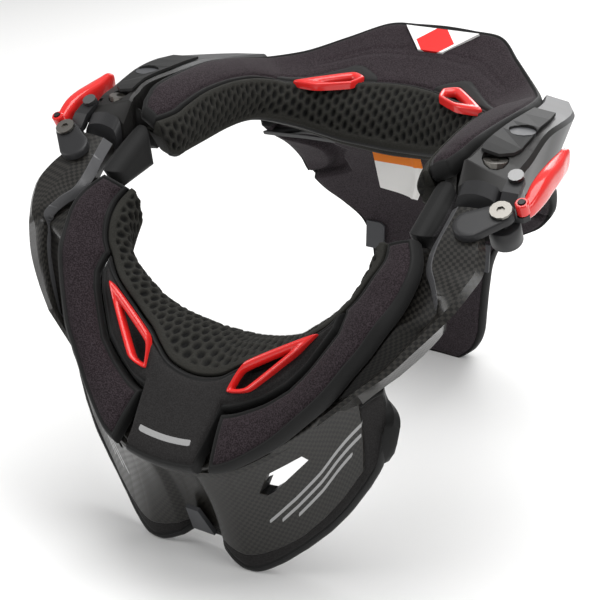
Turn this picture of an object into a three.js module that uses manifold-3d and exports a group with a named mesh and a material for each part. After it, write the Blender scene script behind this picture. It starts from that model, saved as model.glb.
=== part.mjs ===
// Motocross neck brace, in millimetres, +Z up, +X the wearer's left, +Y the wearer's back.
// Every table holds shares of the four reach sizes below, for the left half; mirror() gives the right.
import * as THREE from 'three';
import { mergeVertices } from 'three/addons/utils/BufferGeometryUtils.js';
import Module from 'manifold-3d';

const wasm = await Module();
wasm.setup();

// Reach sizes, from the big arm screws' plane and the middle plane
const COLLAR_HALF_WIDTH = 100;  // middle plane to the pads' outer edge beside the neck
const FRONT_REACH = 100;        // arm screws forward to the front mesh line
const REAR_REACH = 200;         // arm screws back to the rear of the deck
const PLATE_DROP = 200;         // arm screws down to the chest plate's lower edge
const FLOOR = -1.095;           // share of the drop at which the pads meet the ground

// Walls and thicknesses
const PAD_THICK = 9;            // neoprene pads of the collar
const PAD_CROWN = 2;            // how far a pad swells over its edges
const DECK_DISH = 3;            // how far the deck's middle is dished
const ROLL_WALL = 9;            // mesh rolls, front to back
const FRONT_ROLL_LIP = 17;      // how far the front roll turns down into the neck hole
const ROLL_BULGE = 5;           // how far a roll swells
const WEB_THICK = 4;            // carbon web under the pads
const STRUT_DEPTH = 9;          // front arm, top to bottom
const ARM_DEPTH = 24;           // rear arm, top to bottom
const DECK_SHELL = 10;          // rear shell under the deck
const PLATE_THICK = 3;          // chest plate
const CHEST_PAD_THICK = 8;      // chest pad
const BACK_PAD_THICK = 10;      // back pad
const BACK_SHELL_THICK = 3;     // stiff backing of the back pad
const BACK_SHELL_INSET = 12;    // back pad's edge to the backing's edge
const BACK_STRUT = { half_width: 22, thick: 5, foot: 78, top: 13.3 };  // carries the back pad under the deck
const SHELF_COVER = 1.6;        // cover on the shelf
const TAG_THICK = 1;            // cloth tag
const SEAT = 0.35;              // clearance between pieces that touch

// Small hard parts
const ARM_SCREW = { radius: 6.5, head: 2.6, socket: 2.6, depth: 1.6 };
const PIVOT_SCREW = { radius: 5.6, head: 1.5, socket: 2.2, depth: 1, shank: 2.8, length: 24 };
const LINK_PIN = { radius: 4, head: 2, shank: 2.4, length: 15 };
const BUTTON = { radius: 7, height: 2 };
const SNAP = { radius: 5.6, height: 2.2 };
const LATCH_PLATE = { wide: 8.6, narrow: 6.4, thick: 4.2 };
const HOUSING = { radius: 8.2, height: 13 };
const LINK = { half_width: 4.3, thick: 3.6, hole: 3.2 };
const LEVER_PIN = { radius: 1.7, hole: 2.1, knuckle: 3.4, height: 7.5 };
const FRONT_VENT_RING = { height: 5, proud: 2, tip_share: 0.55, end_share: 0.42 };
const REAR_VENT_RING = { height: 4.5, proud: 1.6, tip_share: 0.42, end_share: 0.42 };
const BADGE = { height: 1.8 };
const BACK_VENT_RING = { height: 4, proud: 1.6, tip_share: 0.6, end_share: 0.5 };

// Number of stations between two table rows, and facets of round parts
const STEPS = 2;
const ROUND = 12;

const at = (x, y, z) =>
  new THREE.Vector3(x * COLLAR_HALF_WIDTH, y * (y < 0 ? FRONT_REACH : REAR_REACH), z * PLATE_DROP);
const mix = (a, b, share) => a.clone().lerp(b, share);
const shift = (point, direction, distance) => point.clone().addScaledVector(direction, distance);
const unit = (from, to) => to.clone().sub(from).normalize();

// Smooth rows through the table rows, a Catmull-Rom curve in every column
function smoothRows(rows, steps = STEPS) {
  const out = [];
  for (let i = 0; i + 1 < rows.length; i += 1) {
    const before = rows[Math.max(i - 1, 0)];
    const after = rows[Math.min(i + 2, rows.length - 1)];
    for (let s = 0; s < steps; s += 1) {
      const t = s / steps;
      out.push(rows[i].map((a, k) => {
        const b = rows[i + 1][k];
        const slopeA = (b - before[k]) / 2;
        const slopeB = (after[k] - a) / 2;
        const t2 = t * t;
        const t3 = t2 * t;
        return (2 * t3 - 3 * t2 + 1) * a + (t3 - 2 * t2 + t) * slopeA
          + (3 * t2 - 2 * t3) * b + (t3 - t2) * slopeB;
      }));
    }
  }
  out.push(rows[rows.length - 1]);
  return out;
}

// Value of a two-column table at a station number
function readTable(table, station) {
  if (station <= table[0][0]) return table[0][1];
  for (let i = 0; i + 1 < table.length; i += 1) {
    const [a, va] = table[i];
    const [b, vb] = table[i + 1];
    if (station <= b) return va + (vb - va) * (station - a) / (b - a);
  }
  return table[table.length - 1][1];
}

// A closed body through rings of points, with a fan over each end ring
function loft(rings) {
  const size = rings[0].length;
  const positions = [];
  const index = [];
  rings.forEach((ring) => ring.forEach((p) => positions.push(p.x, p.y, p.z)));
  for (let r = 0; r + 1 < rings.length; r += 1) {
    for (let k = 0; k < size; k += 1) {
      const a = r * size + k;
      const b = r * size + (k + 1) % size;
      index.push(a, b, b + size, a, b + size, a + size);
    }
  }
  [[rings[0], 0, false], [rings[rings.length - 1], (rings.length - 1) * size, true]]
    .forEach(([ring, first, last]) => {
      const middle = ring.reduce((sum, p) => sum.add(p), new THREE.Vector3()).divideScalar(size);
      const centre = positions.length / 3;
      positions.push(middle.x, middle.y, middle.z);
      for (let k = 0; k < size; k += 1) {
        const a = first + k;
        const b = first + (k + 1) % size;
        if (last) index.push(a, b, centre);
        else index.push(b, a, centre);
      }
    });
  const geometry = new THREE.BufferGeometry();
  geometry.setAttribute('position', new THREE.Float32BufferAttribute(positions, 3));
  geometry.setIndex(index);
  return faceOutwards(geometry);
}

// Turns every triangle round if the body's volume comes out negative
function faceOutwards(geometry) {
  const p = geometry.getAttribute('position');
  const index = geometry.getIndex();
  const [a, b, c] = [new THREE.Vector3(), new THREE.Vector3(), new THREE.Vector3()];
  let volume = 0;
  for (let i = 0; i < index.count; i += 3) {
    a.fromBufferAttribute(p, index.getX(i));
    b.fromBufferAttribute(p, index.getX(i + 1));
    c.fromBufferAttribute(p, index.getX(i + 2));
    volume += a.dot(b.cross(c));
  }
  if (volume < 0) {
    for (let i = 0; i < index.count; i += 3) {
      const first = index.getX(i);
      index.setX(i, index.getX(i + 1));
      index.setX(i + 1, first);
    }
  }
  return geometry;
}

function solid(geometry) {
  const bare = new THREE.BufferGeometry();
  bare.setAttribute('position', geometry.getAttribute('position'));
  bare.setIndex(geometry.getIndex());
  const merged = mergeVertices(bare, 1e-4);
  return new wasm.Manifold(new wasm.Mesh({
    numProp: 3,
    vertProperties: new Float32Array(merged.getAttribute('position').array),
    triVerts: new Uint32Array(merged.getIndex().array),
  }));
}

function fromSolid(manifold) {
  const mesh = manifold.simplify(0.02).getMesh();
  const geometry = new THREE.BufferGeometry();
  geometry.setAttribute('position', new THREE.BufferAttribute(new Float32Array(mesh.vertProperties), 3));
  geometry.setIndex(new THREE.BufferAttribute(new Uint32Array(mesh.triVerts), 1));
  return geometry;
}

const cut = (geometry, ...tools) =>
  fromSolid(tools.reduce((body, tool) => body.subtract(solid(tool)), solid(geometry)));
const join = (geometry, ...others) =>
  fromSolid(others.reduce((body, other) => body.add(solid(other)), solid(geometry)));

// The same body on the other side of the middle plane
function mirror(geometry) {
  const other = geometry.clone();
  other.applyMatrix4(new THREE.Matrix4().makeScale(-1, 1, 1));
  return faceOutwards(other);
}

// Stations of the whole ring from the left end round to the right one
const wholeRing = (half, mirrorStation) => [...half, ...half.slice(0, -1).reverse().map(mirrorStation)];
const flip = (p) => new THREE.Vector3(-p.x, p.y, p.z);
const flipAll = (station) =>
  Object.fromEntries(Object.entries(station).map(([k, v]) => [k, v.isVector3 ? flip(v) : v]));

// Adds to each station the surface normal of the band between its two edges
function withNormals(stations, from, to, upHint) {
  return stations.map((station, i) => {
    const before = stations[Math.max(i - 1, 0)];
    const after = stations[Math.min(i + 1, stations.length - 1)];
    const along = mix(after[from], after[to], 0.5).sub(mix(before[from], before[to], 0.5));
    const across = station[to].clone().sub(station[from]);
    const normal = across.cross(along).normalize();
    if (normal.dot(upHint) < 0) normal.negate();
    return { ...station, [`${from}Normal`]: normal };
  });
}

// A flat outline in the plane of two directions, made into a plate of the given height about its plane
function plateOn(origin, right, up, outline, low, high, hole = null) {
  const shape = new THREE.Shape(outline.map(([a, b]) => new THREE.Vector2(a, b)));
  if (hole) shape.holes.push(new THREE.Path(hole.map(([a, b]) => new THREE.Vector2(a, b))));
  const geometry = mergeVertices(stripped(new THREE.ExtrudeGeometry(shape, {
    depth: high - low, bevelEnabled: false, curveSegments: ROUND,
  })), 1e-4);
  const out = right.clone().cross(up).normalize();
  const turn = new THREE.Matrix4().makeBasis(right, up, out);
  geometry.translate(0, 0, low);
  geometry.applyMatrix4(turn);
  geometry.translate(origin.x, origin.y, origin.z);
  return faceOutwards(geometry);
}

function stripped(geometry) {
  geometry.deleteAttribute('normal');
  geometry.deleteAttribute('uv');
  return geometry;
}

// A round post that stands on a point, along a direction, from low to high
function post(origin, direction, radius, low, high, sides = ROUND) {
  const geometry = mergeVertices(
    stripped(new THREE.CylinderGeometry(radius, radius, high - low, sides)), 1e-4);
  geometry.translate(0, (low + high) / 2, 0);
  const turn = new THREE.Quaternion().setFromUnitVectors(new THREE.Vector3(0, 1, 0), direction);
  geometry.applyQuaternion(turn);
  geometry.translate(origin.x, origin.y, origin.z);
  return faceOutwards(geometry);
}

const group = new THREE.Group();
function add(name, geometry, color, roughness, metalness = 0) {
  const bare = geometry.index ? geometry : mergeVertices(geometry, 1e-4);
  bare.computeVertexNormals();
  const material = new THREE.MeshStandardMaterial({ color, roughness, metalness });
  const mesh = new THREE.Mesh(bare, material);
  mesh.name = name;
  group.add(mesh);
}
function addPair(name, geometry, ...finish) {
  add(`${name}_left`, geometry, ...finish);
  add(`${name}_right`, mirror(geometry), ...finish);
}

const NEOPRENE = [0x3a3236, 0.95];
const PANEL = [0x201d1c, 0.8];
const MESH = [0x1c1c1a, 0.9];
const CARBON = [0x2b2a27, 0.35, 0.2];
const RED = [0xd92a2a, 0.35];
const PLASTIC = [0x2e2e2e, 0.5];
const STEEL = [0xb9b4ac, 0.3, 1];
const GREY = [0x55565a, 0.5];

// Front half. Rows run from the pad's end beside the neck to the middle.
const FRONT_PAD = [
  // outer x, y, z, inner x, y, z
  [0.960, -0.460, -0.150, 0.800, -0.430, -0.185],
  [1.025, -0.558, -0.182, 0.825, -0.520, -0.215],
  [1.048, -0.650, -0.214, 0.805, -0.620, -0.248],
  [1.032, -0.750, -0.260, 0.770, -0.690, -0.290],
  [0.988, -0.862, -0.305, 0.720, -0.725, -0.325],
  [0.940, -0.930, -0.360, 0.660, -0.770, -0.360],
  [0.880, -0.995, -0.412, 0.590, -0.800, -0.390],
  [0.800, -1.070, -0.478, 0.500, -0.815, -0.430],
  [0.700, -1.130, -0.540, 0.420, -0.850, -0.450],
  [0.560, -1.215, -0.615, 0.340, -0.890, -0.465],
  [0.375, -1.315, -0.678, 0.250, -0.950, -0.485],
  [0.200, -1.348, -0.702, 0.150, -0.990, -0.515],
  [0.000, -1.360, -0.710, 0.000, -1.000, -0.530],
];
const FRONT_NECK = [
  // neck edge x, y, z
  [0.750, -0.420, -0.210],
  [0.750, -0.480, -0.250],
  [0.745, -0.530, -0.290],
  [0.720, -0.560, -0.330],
  [0.675, -0.575, -0.365],
  [0.620, -0.580, -0.395],
  [0.550, -0.580, -0.425],
  [0.470, -0.580, -0.455],
  [0.380, -0.575, -0.475],
  [0.290, -0.565, -0.490],
  [0.195, -0.555, -0.500],
  [0.095, -0.545, -0.507],
  [0.000, -0.540, -0.510],
];
// How much of the pad's width, from the mesh line outwards, the black centre panel takes
const PANEL_SHARE = [
  // station, share
  [4.0, 0.05], [5.0, 0.27], [6.0, 0.37], [7.0, 0.45], [8.0, 0.52], [9.0, 0.50],
  [10.0, 0.45], [10.5, 0.42], [11.0, 0.99], [12.0, 1.0],
];
const PANEL_START = 4;
const PAD_STOP = 10.5;

// Front arm's strut: rows from the arm's head to where it dips under the pad
const STRUT = [
  // station, outer x, y, z, inner x, y, z
  [1.280, -0.262, -0.092, 1.065, -0.258, -0.092],
  [1.290, -0.350, -0.122, 1.060, -0.350, -0.124],
  [1.345, -0.460, -0.158, 1.050, -0.460, -0.165],
  [1.372, -0.545, -0.192, 1.065, -0.545, -0.200],
  [1.350, -0.630, -0.225, 1.120, -0.615, -0.222],
  [1.310, -0.710, -0.265, 1.175, -0.680, -0.257],
  [1.260, -0.780, -0.300, 1.175, -0.660, -0.300],
  [1.180, -0.865, -0.350, 1.130, -0.740, -0.342],
  [1.080, -0.935, -0.410, 1.030, -0.850, -0.405],
  [0.955, -1.010, -0.464, 0.905, -0.955, -0.476],
];
const STRUT_LEAD = 2;      // strut rows before the pad's first row
const UP_FRONT = new THREE.Vector3(0, -0.5, 0.86);
const UP = new THREE.Vector3(0, 0, 1);

const frontRows = smoothRows(FRONT_PAD.map((row, i) => [...row, ...FRONT_NECK[i]]));
const frontHalf = withNormals(withNormals(frontRows.map((r, i) => ({
  outer: at(r[0], r[1], r[2]),
  inner: at(r[3], r[4], r[5]),
  neck: at(r[6], r[7], r[8]),
  station: i / STEPS,
  share: readTable(PANEL_SHARE, i / STEPS),
})), 'outer', 'inner', UP_FRONT), 'inner', 'neck', UP_FRONT);

// Cross-section of a pad between two shares of its band, swelling in the middle
function padSection(from, to, normal, thick, crown, fromShare = 0, toShare = 1) {
  const bow = (share) => crown * Math.sin(Math.PI * share) ** 0.5;
  const top = [0, 0.12, 0.5, 0.88, 1].map((s) => {
    const share = fromShare + (toShare - fromShare) * s;
    return shift(mix(from, to, share), normal, bow(share));
  });
  const under = [toShare, fromShare].map((share) => shift(mix(from, to, share), normal, -thick));
  return [...top, ...under];
}
const GROOVE = 0.012;      // share of the band left open between pad and panel

function frontPad() {
  const part = frontHalf.filter((s) => s.station <= PAD_STOP);
  return loft(part.map((s) => {
    const stop = s.station < PANEL_START ? 1 - GROOVE : 1 - s.share - GROOVE;
    return padSection(s.outer, s.inner, s.outerNormal, PAD_THICK, PAD_CROWN, 0, stop);
  }));
}

function centrePanel() {
  const part = wholeRing(frontHalf.filter((s) => s.station >= PANEL_START), flipAll);
  return loft(part.map((s) => {
    const start = s.share > 0.9 ? 0 : 1 - s.share + GROOVE;
    return padSection(s.outer, s.inner, s.outerNormal, PAD_THICK, PAD_CROWN, start, 1 - GROOVE);
  }));
}

// Cross-section of a mesh roll: over the top from the pad's edge, down into the neck hole and back under
function frontRollSection(s) {
  const across = unit(s.inner, s.neck);
  const start = shift(s.inner, across, SEAT);
  const bulge = ROLL_BULGE * (0.5 + 0.5 * Math.min(1, s.inner.distanceTo(s.neck) / 40));
  const lip = shift(s.neck, UP, -FRONT_ROLL_LIP);
  const outwards = unit(s.neck, s.inner).setZ(0).normalize();
  const under = shift(s.inner, s.outerNormal, -(PAD_THICK + SEAT));
  return [
    start,
    shift(mix(start, s.neck, 0.3), s.innerNormal, bulge * 0.8),
    shift(mix(start, s.neck, 0.65), s.innerNormal, bulge),
    shift(s.neck, s.innerNormal, bulge * 0.3),
    shift(mix(s.neck, lip, 0.5), outwards, -1.5),
    lip,
    shift(lip, outwards, ROLL_WALL),
    shift(under, unit(s.outer, s.inner), -2),
    shift(under, across, SEAT),
  ];
}

// Front frame: a bevelled strut outside the pad, joined to a thin web under the pad
function frontFrame() {
  const strutRows = smoothRows(STRUT);
  const lead = STRUT_LEAD * STEPS;
  const strut = strutRows.map((r) => ({ outer: at(r[0], r[1], r[2]), inner: at(r[3], r[4], r[5]) }));
  frontHalf.slice(strutRows.length - lead).forEach((s) => {
    const inwards = unit(s.outer, s.inner);
    const below = shift(s.outer, s.outerNormal, -(PAD_THICK + SEAT + 3.8));
    strut.push({ outer: shift(below, inwards, 0.5), inner: shift(below, inwards, 8) });
  });
  const web = frontHalf.map((s, i) => {
    const beside = strut[lead + i];
    const drop = -(PAD_THICK + SEAT);
    const corner = shift(s.outer, s.outerNormal, drop - 1.4);
    const edge = shift(mix(beside.inner, beside.outer, 0.3), s.outerNormal, -STRUT_DEPTH * 0.55);
    return {
      edge: i + lead < strutRows.length ? edge : shift(corner, unit(s.outer, s.inner), 2),
      corner: shift(corner, unit(s.outer, s.inner), 2.5),
      inside: shift(mix(s.outer, s.inner, 0.78), s.outerNormal, drop - 1.4),
      down: s.outerNormal,
    };
  });
  const sparse = web.filter((_, i) => i % 2 === 0);
  const bar = loft(wholeRing(strut, flipAll).map(strutSection));
  const sheet = loft(wholeRing(sparse, (s) => ({ ...flipAll(s), down: flip(s.down) })).map((s) => [
    s.edge, s.corner, s.inside,
    shift(s.inside, s.down, -WEB_THICK), shift(s.corner, s.down, -WEB_THICK),
    shift(s.edge, s.down, -WEB_THICK),
  ]));
  return join(bar, sheet);
}

function strutSection({ outer, inner }, i, all) {
  const before = all[Math.max(i - 1, 0)];
  const after = all[Math.min(i + 1, all.length - 1)];
  const along = after.outer.clone().sub(before.outer).normalize();
  const across = unit(inner, outer);
  const normal = across.clone().cross(along).normalize();
  if (normal.dot(UP_FRONT) < 0) normal.negate();
  const width = outer.distanceTo(inner);
  const bevel = Math.min(4, width * 0.28);
  const rise = Math.min(3.2, width * 0.25);
  return [
    outer,
    shift(shift(outer, across, -bevel * 0.8), normal, rise),
    shift(shift(inner, across, bevel), normal, rise * 0.4),
    shift(inner, normal, -rise),
    shift(shift(inner, across, 1), normal, -Math.min(STRUT_DEPTH, width * 0.9)),
    shift(shift(outer, across, -bevel), normal, -rise * 0.8),
  ];
}


// Rear half. Rows run from the pad's end beside the neck to the middle.
const REAR_PAD = [
  // outer x, y, z, inner x, y, z
  [0.955, -0.085, -0.012, 0.855, -0.100, -0.040],
  [1.005, 0.005, 0.012, 0.815, 0.015, -0.032],
  [1.035, 0.070, 0.032, 0.812, 0.070, -0.020],
  [1.050, 0.200, 0.038, 0.810, 0.170, -0.003],
  [1.056, 0.350, 0.036, 0.795, 0.290, 0.000],
  [1.020, 0.480, 0.022, 0.775, 0.400, -0.012],
  [0.965, 0.580, 0.010, 0.735, 0.480, -0.030],
  [0.915, 0.650, 0.005, 0.675, 0.530, -0.047],
  [0.785, 0.755, 0.012, 0.580, 0.575, -0.050],
  [0.600, 0.862, 0.045, 0.450, 0.610, -0.050],
  [0.403, 0.970, 0.080, 0.310, 0.640, -0.048],
  [0.200, 0.982, 0.087, 0.155, 0.668, -0.046],
  [0.000, 0.987, 0.090, 0.000, 0.680, -0.045],
];
const REAR_ROLL = [
  // lower edge x, y, z
  [0.820, -0.030, -0.140],
  [0.800, 0.020, -0.155],
  [0.800, 0.060, -0.152],
  [0.800, 0.160, -0.146],
  [0.800, 0.280, -0.140],
  [0.785, 0.375, -0.140],
  [0.745, 0.430, -0.145],
  [0.670, 0.475, -0.158],
  [0.570, 0.512, -0.175],
  [0.440, 0.530, -0.190],
  [0.310, 0.545, -0.205],
  [0.155, 0.557, -0.212],
  [0.000, 0.560, -0.215],
];
// Outer edge of the rear frame where it shows beside the pad
const REAR_EDGE = [
  // x, y, z
  [1.330, -0.085, -0.035],
  [1.336, 0.010, -0.008],
  [1.336, 0.055, 0.002],
  [1.332, 0.170, 0.036],
  [1.340, 0.300, 0.040],
  [1.290, 0.420, 0.025],
  [1.200, 0.530, 0.012],
  [1.100, 0.630, 0.000],
];
const ARM_END = [
  // outer x, y, z, inner x, y, z: the rear arm's end at the spacer
  [1.310, -0.150, -0.050, 1.050, -0.150, -0.050],
];

const rearHalf = withNormals(smoothRows(REAR_PAD.map((row, i) => [...row, ...REAR_ROLL[i]]))
  .map((r, i) => ({
    outer: at(r[0], r[1], r[2]),
    inner: at(r[3], r[4], r[5]),
    low: at(r[6], r[7], r[8]),
    station: i / STEPS,
  })), 'outer', 'inner', UP);
const rearEdge = smoothRows(REAR_EDGE).map(([x, y, z]) => at(x, y, z));

// The pad swells beside the neck and is dished on the deck
function rearPadSection(s) {
  const share = Math.min(1, Math.max(0, (s.station - 5) / 3));
  return padSection(s.outer, s.inner, s.outerNormal, PAD_THICK, PAD_CROWN - share * (PAD_CROWN + DECK_DISH));
}

// The rear roll hangs from the pad's inner edge like a wall that swells towards the neck
function rearRollSection(s, i, all) {
  const before = all[Math.max(i - 1, 0)];
  const after = all[Math.min(i + 1, all.length - 1)];
  const along = after.inner.clone().sub(before.inner);
  const face = unit(s.inner, s.low).cross(along).normalize();
  if (face.y > 0) face.negate();
  const inwards = unit(s.outer, s.inner);
  const start = shift(s.inner, inwards, SEAT);
  const under = shift(s.inner, s.outerNormal, -(PAD_THICK + SEAT));
  return [
    start,
    shift(mix(start, s.low, 0.25), face, ROLL_BULGE * 0.8),
    shift(mix(start, s.low, 0.55), face, ROLL_BULGE),
    shift(mix(start, s.low, 0.85), face, ROLL_BULGE * 0.5),
    s.low,
    shift(s.low, face, -ROLL_WALL),
    shift(under, inwards, -5),
    shift(under, inwards, SEAT),
  ];
}

const PAD_GAP = [
  // station, distance from the pad's outer edge to the shelf's inner edge
  [0, 9.5], [0.5, 8], [1, 5.5], [3, 2.5],
];

// Rear frame: the arm's end, the shelf beside the pad and the shell under the deck
function rearFrameStations() {
  const [ox, oy, oz, ix, iy, iz] = ARM_END[0];
  const stations = [{ outer: at(ox, oy, oz), inner: at(ix, iy, iz), depth: ARM_DEPTH }];
  rearHalf.forEach((s, i) => {
    const drop = -(PAD_THICK + SEAT) - (s.station > 6.9 || s.station < 1.1 ? 1.8 : 0.8);
    const inwards = unit(s.outer, s.inner);
    const shown = rearEdge[i];
    const share = Math.min(1, Math.max(0, (s.station - 3) / 4));
    const depth = ARM_DEPTH + (DECK_SHELL - ARM_DEPTH) * share;
    const webIn = shift(mix(s.outer, s.inner, 0.5), s.outerNormal, drop);
    if (shown) {
      const lower = i === rearEdge.length - 1 ? drop - 0.5 : -1;
      const inner = shift(shift(s.outer, inwards, -readTable(PAD_GAP, s.station)), s.outerNormal, lower);
      const webOut = shift(shift(s.outer, s.outerNormal, drop), inwards, -1);
      const open = s.station < 1;
      stations.push({
        outer: shown, inner, webOut: open ? null : webOut, webIn: open ? null : webIn, depth,
      });
    } else {
      const outer = shift(shift(s.outer, s.outerNormal, drop - 1), inwards, 3);
      const inner = shift(shift(s.outer, s.outerNormal, drop), inwards, 6);
      stations.push({ outer, inner, webOut: shift(inner, inwards, 2), webIn, depth });
    }
  });
  return stations;
}

function rearFrameSection({ outer, inner, webOut, webIn, depth }) {
  const a = webOut || shift(inner, UP, -8);
  const b = webOut ? webIn : shift(inner, UP, -10);
  const lowIn = shift(b, UP, -depth * (webOut ? 0.75 : 0.5));
  return [
    shift(outer, UP, -2),
    mix(outer, inner, 0.08),
    mix(outer, inner, 0.93),
    shift(inner, UP, -1.5),
    a,
    b,
    lowIn,
    shift(mix(b, outer, 0.4), UP, -depth),
    shift(mix(b, outer, 0.85), UP, -depth),
  ];
}




// Chest plate and pad: columns from the middle to the side
const CHEST = [
  // x, plate top y, z, plate bottom y, z, rim of the pad past the plate's lower edge
  [0.00, -1.205, -0.745, -0.945, -1.015, 0.08],
  [0.10, -1.205, -0.744, -0.950, -1.015, 0.08],
  [0.15, -1.240, -0.742, -1.000, -1.022, 0.10],
  [0.24, -1.225, -0.735, -1.025, -1.032, 0.12],
  [0.33, -1.195, -0.722, -1.025, -1.034, 0.13],
  [0.45, -1.150, -0.695, -0.985, -1.012, 0.12],
  [0.60, -1.100, -0.650, -0.925, -0.960, 0.10],
  [0.72, -1.040, -0.600, -0.885, -0.890, 0.11],
  [0.82, -0.980, -0.540, -0.860, -0.815, 0.12],
  [0.91, -0.910, -0.500, -0.825, -0.730, 0.13],
  [0.965, -0.865, -0.475, -0.800, -0.660, 0.13],
  [1.000, -0.840, -0.470, -0.810, -0.560, 0.08],
];
const PLATE_COLUMNS = 10;
const RIM_DOWN = new THREE.Vector3(0, -0.15, -0.99).normalize();
const CHEST_FACE = new THREE.Vector3(0, -0.92, -0.39).normalize();
const CHEST_BOW = 3;

// A bowed plate through columns: top, middle, lower edge and rim, thickness to the back
function chestLoft(columns, thick, setBack, topInset, rimmed) {
  const points = [...columns].reverse().map(([x, ty, tz, by, bz, rim]) => {
    const [top, bottom] = [at(x, ty, tz - 0.018), at(x, by, bz)];
    const middle = shift(mix(top, bottom, 0.5), CHEST_FACE, -CHEST_BOW);
    const low = shift(bottom, RIM_DOWN, rimmed ? rim * FRONT_REACH : 0);
    const inset = rimmed && x < 0.75 ? 17 : topInset;
    return { top: shift(top, unit(top, middle), inset), middle, bottom: rimmed ? bottom : mix(middle, low, 0.6), low };
  });
  return loft(wholeRing(points, flipAll).map(({ top, middle, bottom, low }) => {
    const line = [top, middle, bottom, low];
    return [
      ...line.map((p) => shift(p, CHEST_FACE, -setBack)),
      ...line.map((p) => shift(p, CHEST_FACE, -setBack - thick)).reverse(),
    ];
  }));
}

const CHEST_HOLE = [
  // x, z of the open slot
  [0.437, -0.805], [0.495, -0.735], [0.662, -0.672], [0.684, -0.687], [0.513, -0.795], [0.473, -0.812],
];
const chestHoleOutline = CHEST_HOLE.map(([x, z]) => [x * COLLAR_HALF_WIDTH, z * PLATE_DROP]);
const slotCut = (side) => plateOn(new THREE.Vector3(0, -FRONT_REACH, 0),
  new THREE.Vector3(1, 0, 0), UP, chestHoleOutline.map(([x, z]) => [side * x, z]), -50, 50);
const floorCut = plateOn(new THREE.Vector3(0, 0, FLOOR * PLATE_DROP),
  new THREE.Vector3(1, 0, 0), new THREE.Vector3(0, 1, 0),
  [[-150, -150], [150, -150], [150, 230], [-150, 230]], -40, 0);

add('chest_plate', cut(chestLoft(CHEST.slice(0, PLATE_COLUMNS), PLATE_THICK, 0, 0, false),
  slotCut(1), slotCut(-1)), ...CARBON);
add('chest_pad', cut(chestLoft(CHEST, CHEST_PAD_THICK, PLATE_THICK + 3 * SEAT, 3, true),
  slotCut(1), slotCut(-1), floorCut), ...NEOPRENE);
add('chest_tab', plateOn(at(0, -0.985, -0.975), new THREE.Vector3(1, 0, 0),
  new THREE.Vector3(0, -0.46, 0.89).normalize(),
  [[-4, 12], [4, 12], [7.2, -11], [-7.2, -11]], 1, 3.5), ...GREY);

// Back pad and its backing: rows from the top edge down
const BACK = [
  // half width, y in the middle, z, y at the edge
  [0.960, 0.665, -0.225, 0.580],
  [0.965, 0.700, -0.275, 0.650],
  [0.955, 0.755, -0.330, 0.740],
  [0.945, 0.810, -0.400, 0.820],
  [0.910, 0.850, -0.460, 0.850],
  [0.820, 0.885, -0.520, 0.880],
  [0.670, 0.905, -0.570, 0.900],
  [0.530, 0.915, -0.620, 0.905],
  [0.460, 0.922, -0.700, 0.912],
  [0.435, 0.930, -0.800, 0.920],
  [0.420, 0.940, -0.900, 0.930],
  [0.405, 0.948, -0.985, 0.940],
  [0.350, 0.952, -1.050, 0.946],
  [0.230, 0.955, -1.105, 0.952],
];
const BACK_COLUMNS = [-1, -0.7, -0.35, 0, 0.35, 0.7, 1];

function backPlate(inset, thick, setBack, from, to) {
  const rows = smoothRows(BACK, 1).slice(from, to + 1);
  return loft(rows.map(([half, y, z, edgeY]) => {
    const width = half - inset / COLLAR_HALF_WIDTH;
    const front = BACK_COLUMNS.map((share) => {
      const bend = y + (edgeY - y) * (share * width / half) ** 2;
      return at(share * width, bend, z).setY(bend * REAR_REACH + setBack);
    });
    const far = front.map((p) => new THREE.Vector3(p.x, p.y + thick, p.z)).reverse();
    return [...front, ...far];
  }));
}

// Vents: a kite-shaped ring in the plane of its corners
const FRONT_VENT = [
  // x, y, z of the corners: tip, upper, lower, outer
  [0.680, -0.826, -0.360],
  [0.293, -0.969, -0.467],
  [0.246, -1.077, -0.540],
  [0.374, -1.070, -0.523],
];
const REAR_VENT = [
  // tip, then the wide end
  [0.670, 0.532, -0.048],
  [0.367, 0.698, -0.036],
  [0.270, 0.672, -0.041],
  [0.300, 0.605, -0.048],
  [0.480, 0.540, -0.051],
];
const BACK_VENT_CORNERS = [
  // tip, then the wide end
  [0.975, 0.590, -0.242],
  [0.840, 0.628, -0.226],
  [0.500, 0.675, -0.232],
  [0.370, 0.700, -0.285],
  [0.680, 0.655, -0.268],
];

// The plane through a vent's corners, with its front turned to the given side
function ventFrame(table, facing) {
  const p = table.map(([x, y, z]) => at(x, y, z));
  const right = unit(p[2], p[0]);
  const normal = right.clone().cross(unit(p[2], p[1])).normalize();
  if (normal.dot(facing) < 0) normal.negate();
  const up = normal.clone().cross(right).normalize();
  const origin = p.slice(1).reduce((sum, q) => sum.add(q), new THREE.Vector3())
    .divideScalar(p.length - 1);
  const flat = p.map((q) => {
    const d = q.clone().sub(origin);
    return [d.dot(right), d.dot(up)];
  });
  return { origin, right, up, flat };
}

// Outline moved outwards by a distance, corner by corner
function grow(outline, distance) {
  const area = outline.reduce((sum, [x, y], i) => {
    const [nx, ny] = outline[(i + 1) % outline.length];
    return sum + x * ny - nx * y;
  }, 0);
  const side = Math.sign(area) * distance;
  return outline.map(([x, y], i) => {
    const [px, py] = outline[(i + outline.length - 1) % outline.length];
    const [nx, ny] = outline[(i + 1) % outline.length];
    const a = new THREE.Vector2(x - px, y - py).normalize();
    const b = new THREE.Vector2(nx - x, ny - y).normalize();
    const bend = Math.max(0.35, 1 + a.dot(b));
    return [x + side * (a.y + b.y) / bend, y - side * (a.x + b.x) / bend];
  });
}

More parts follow.
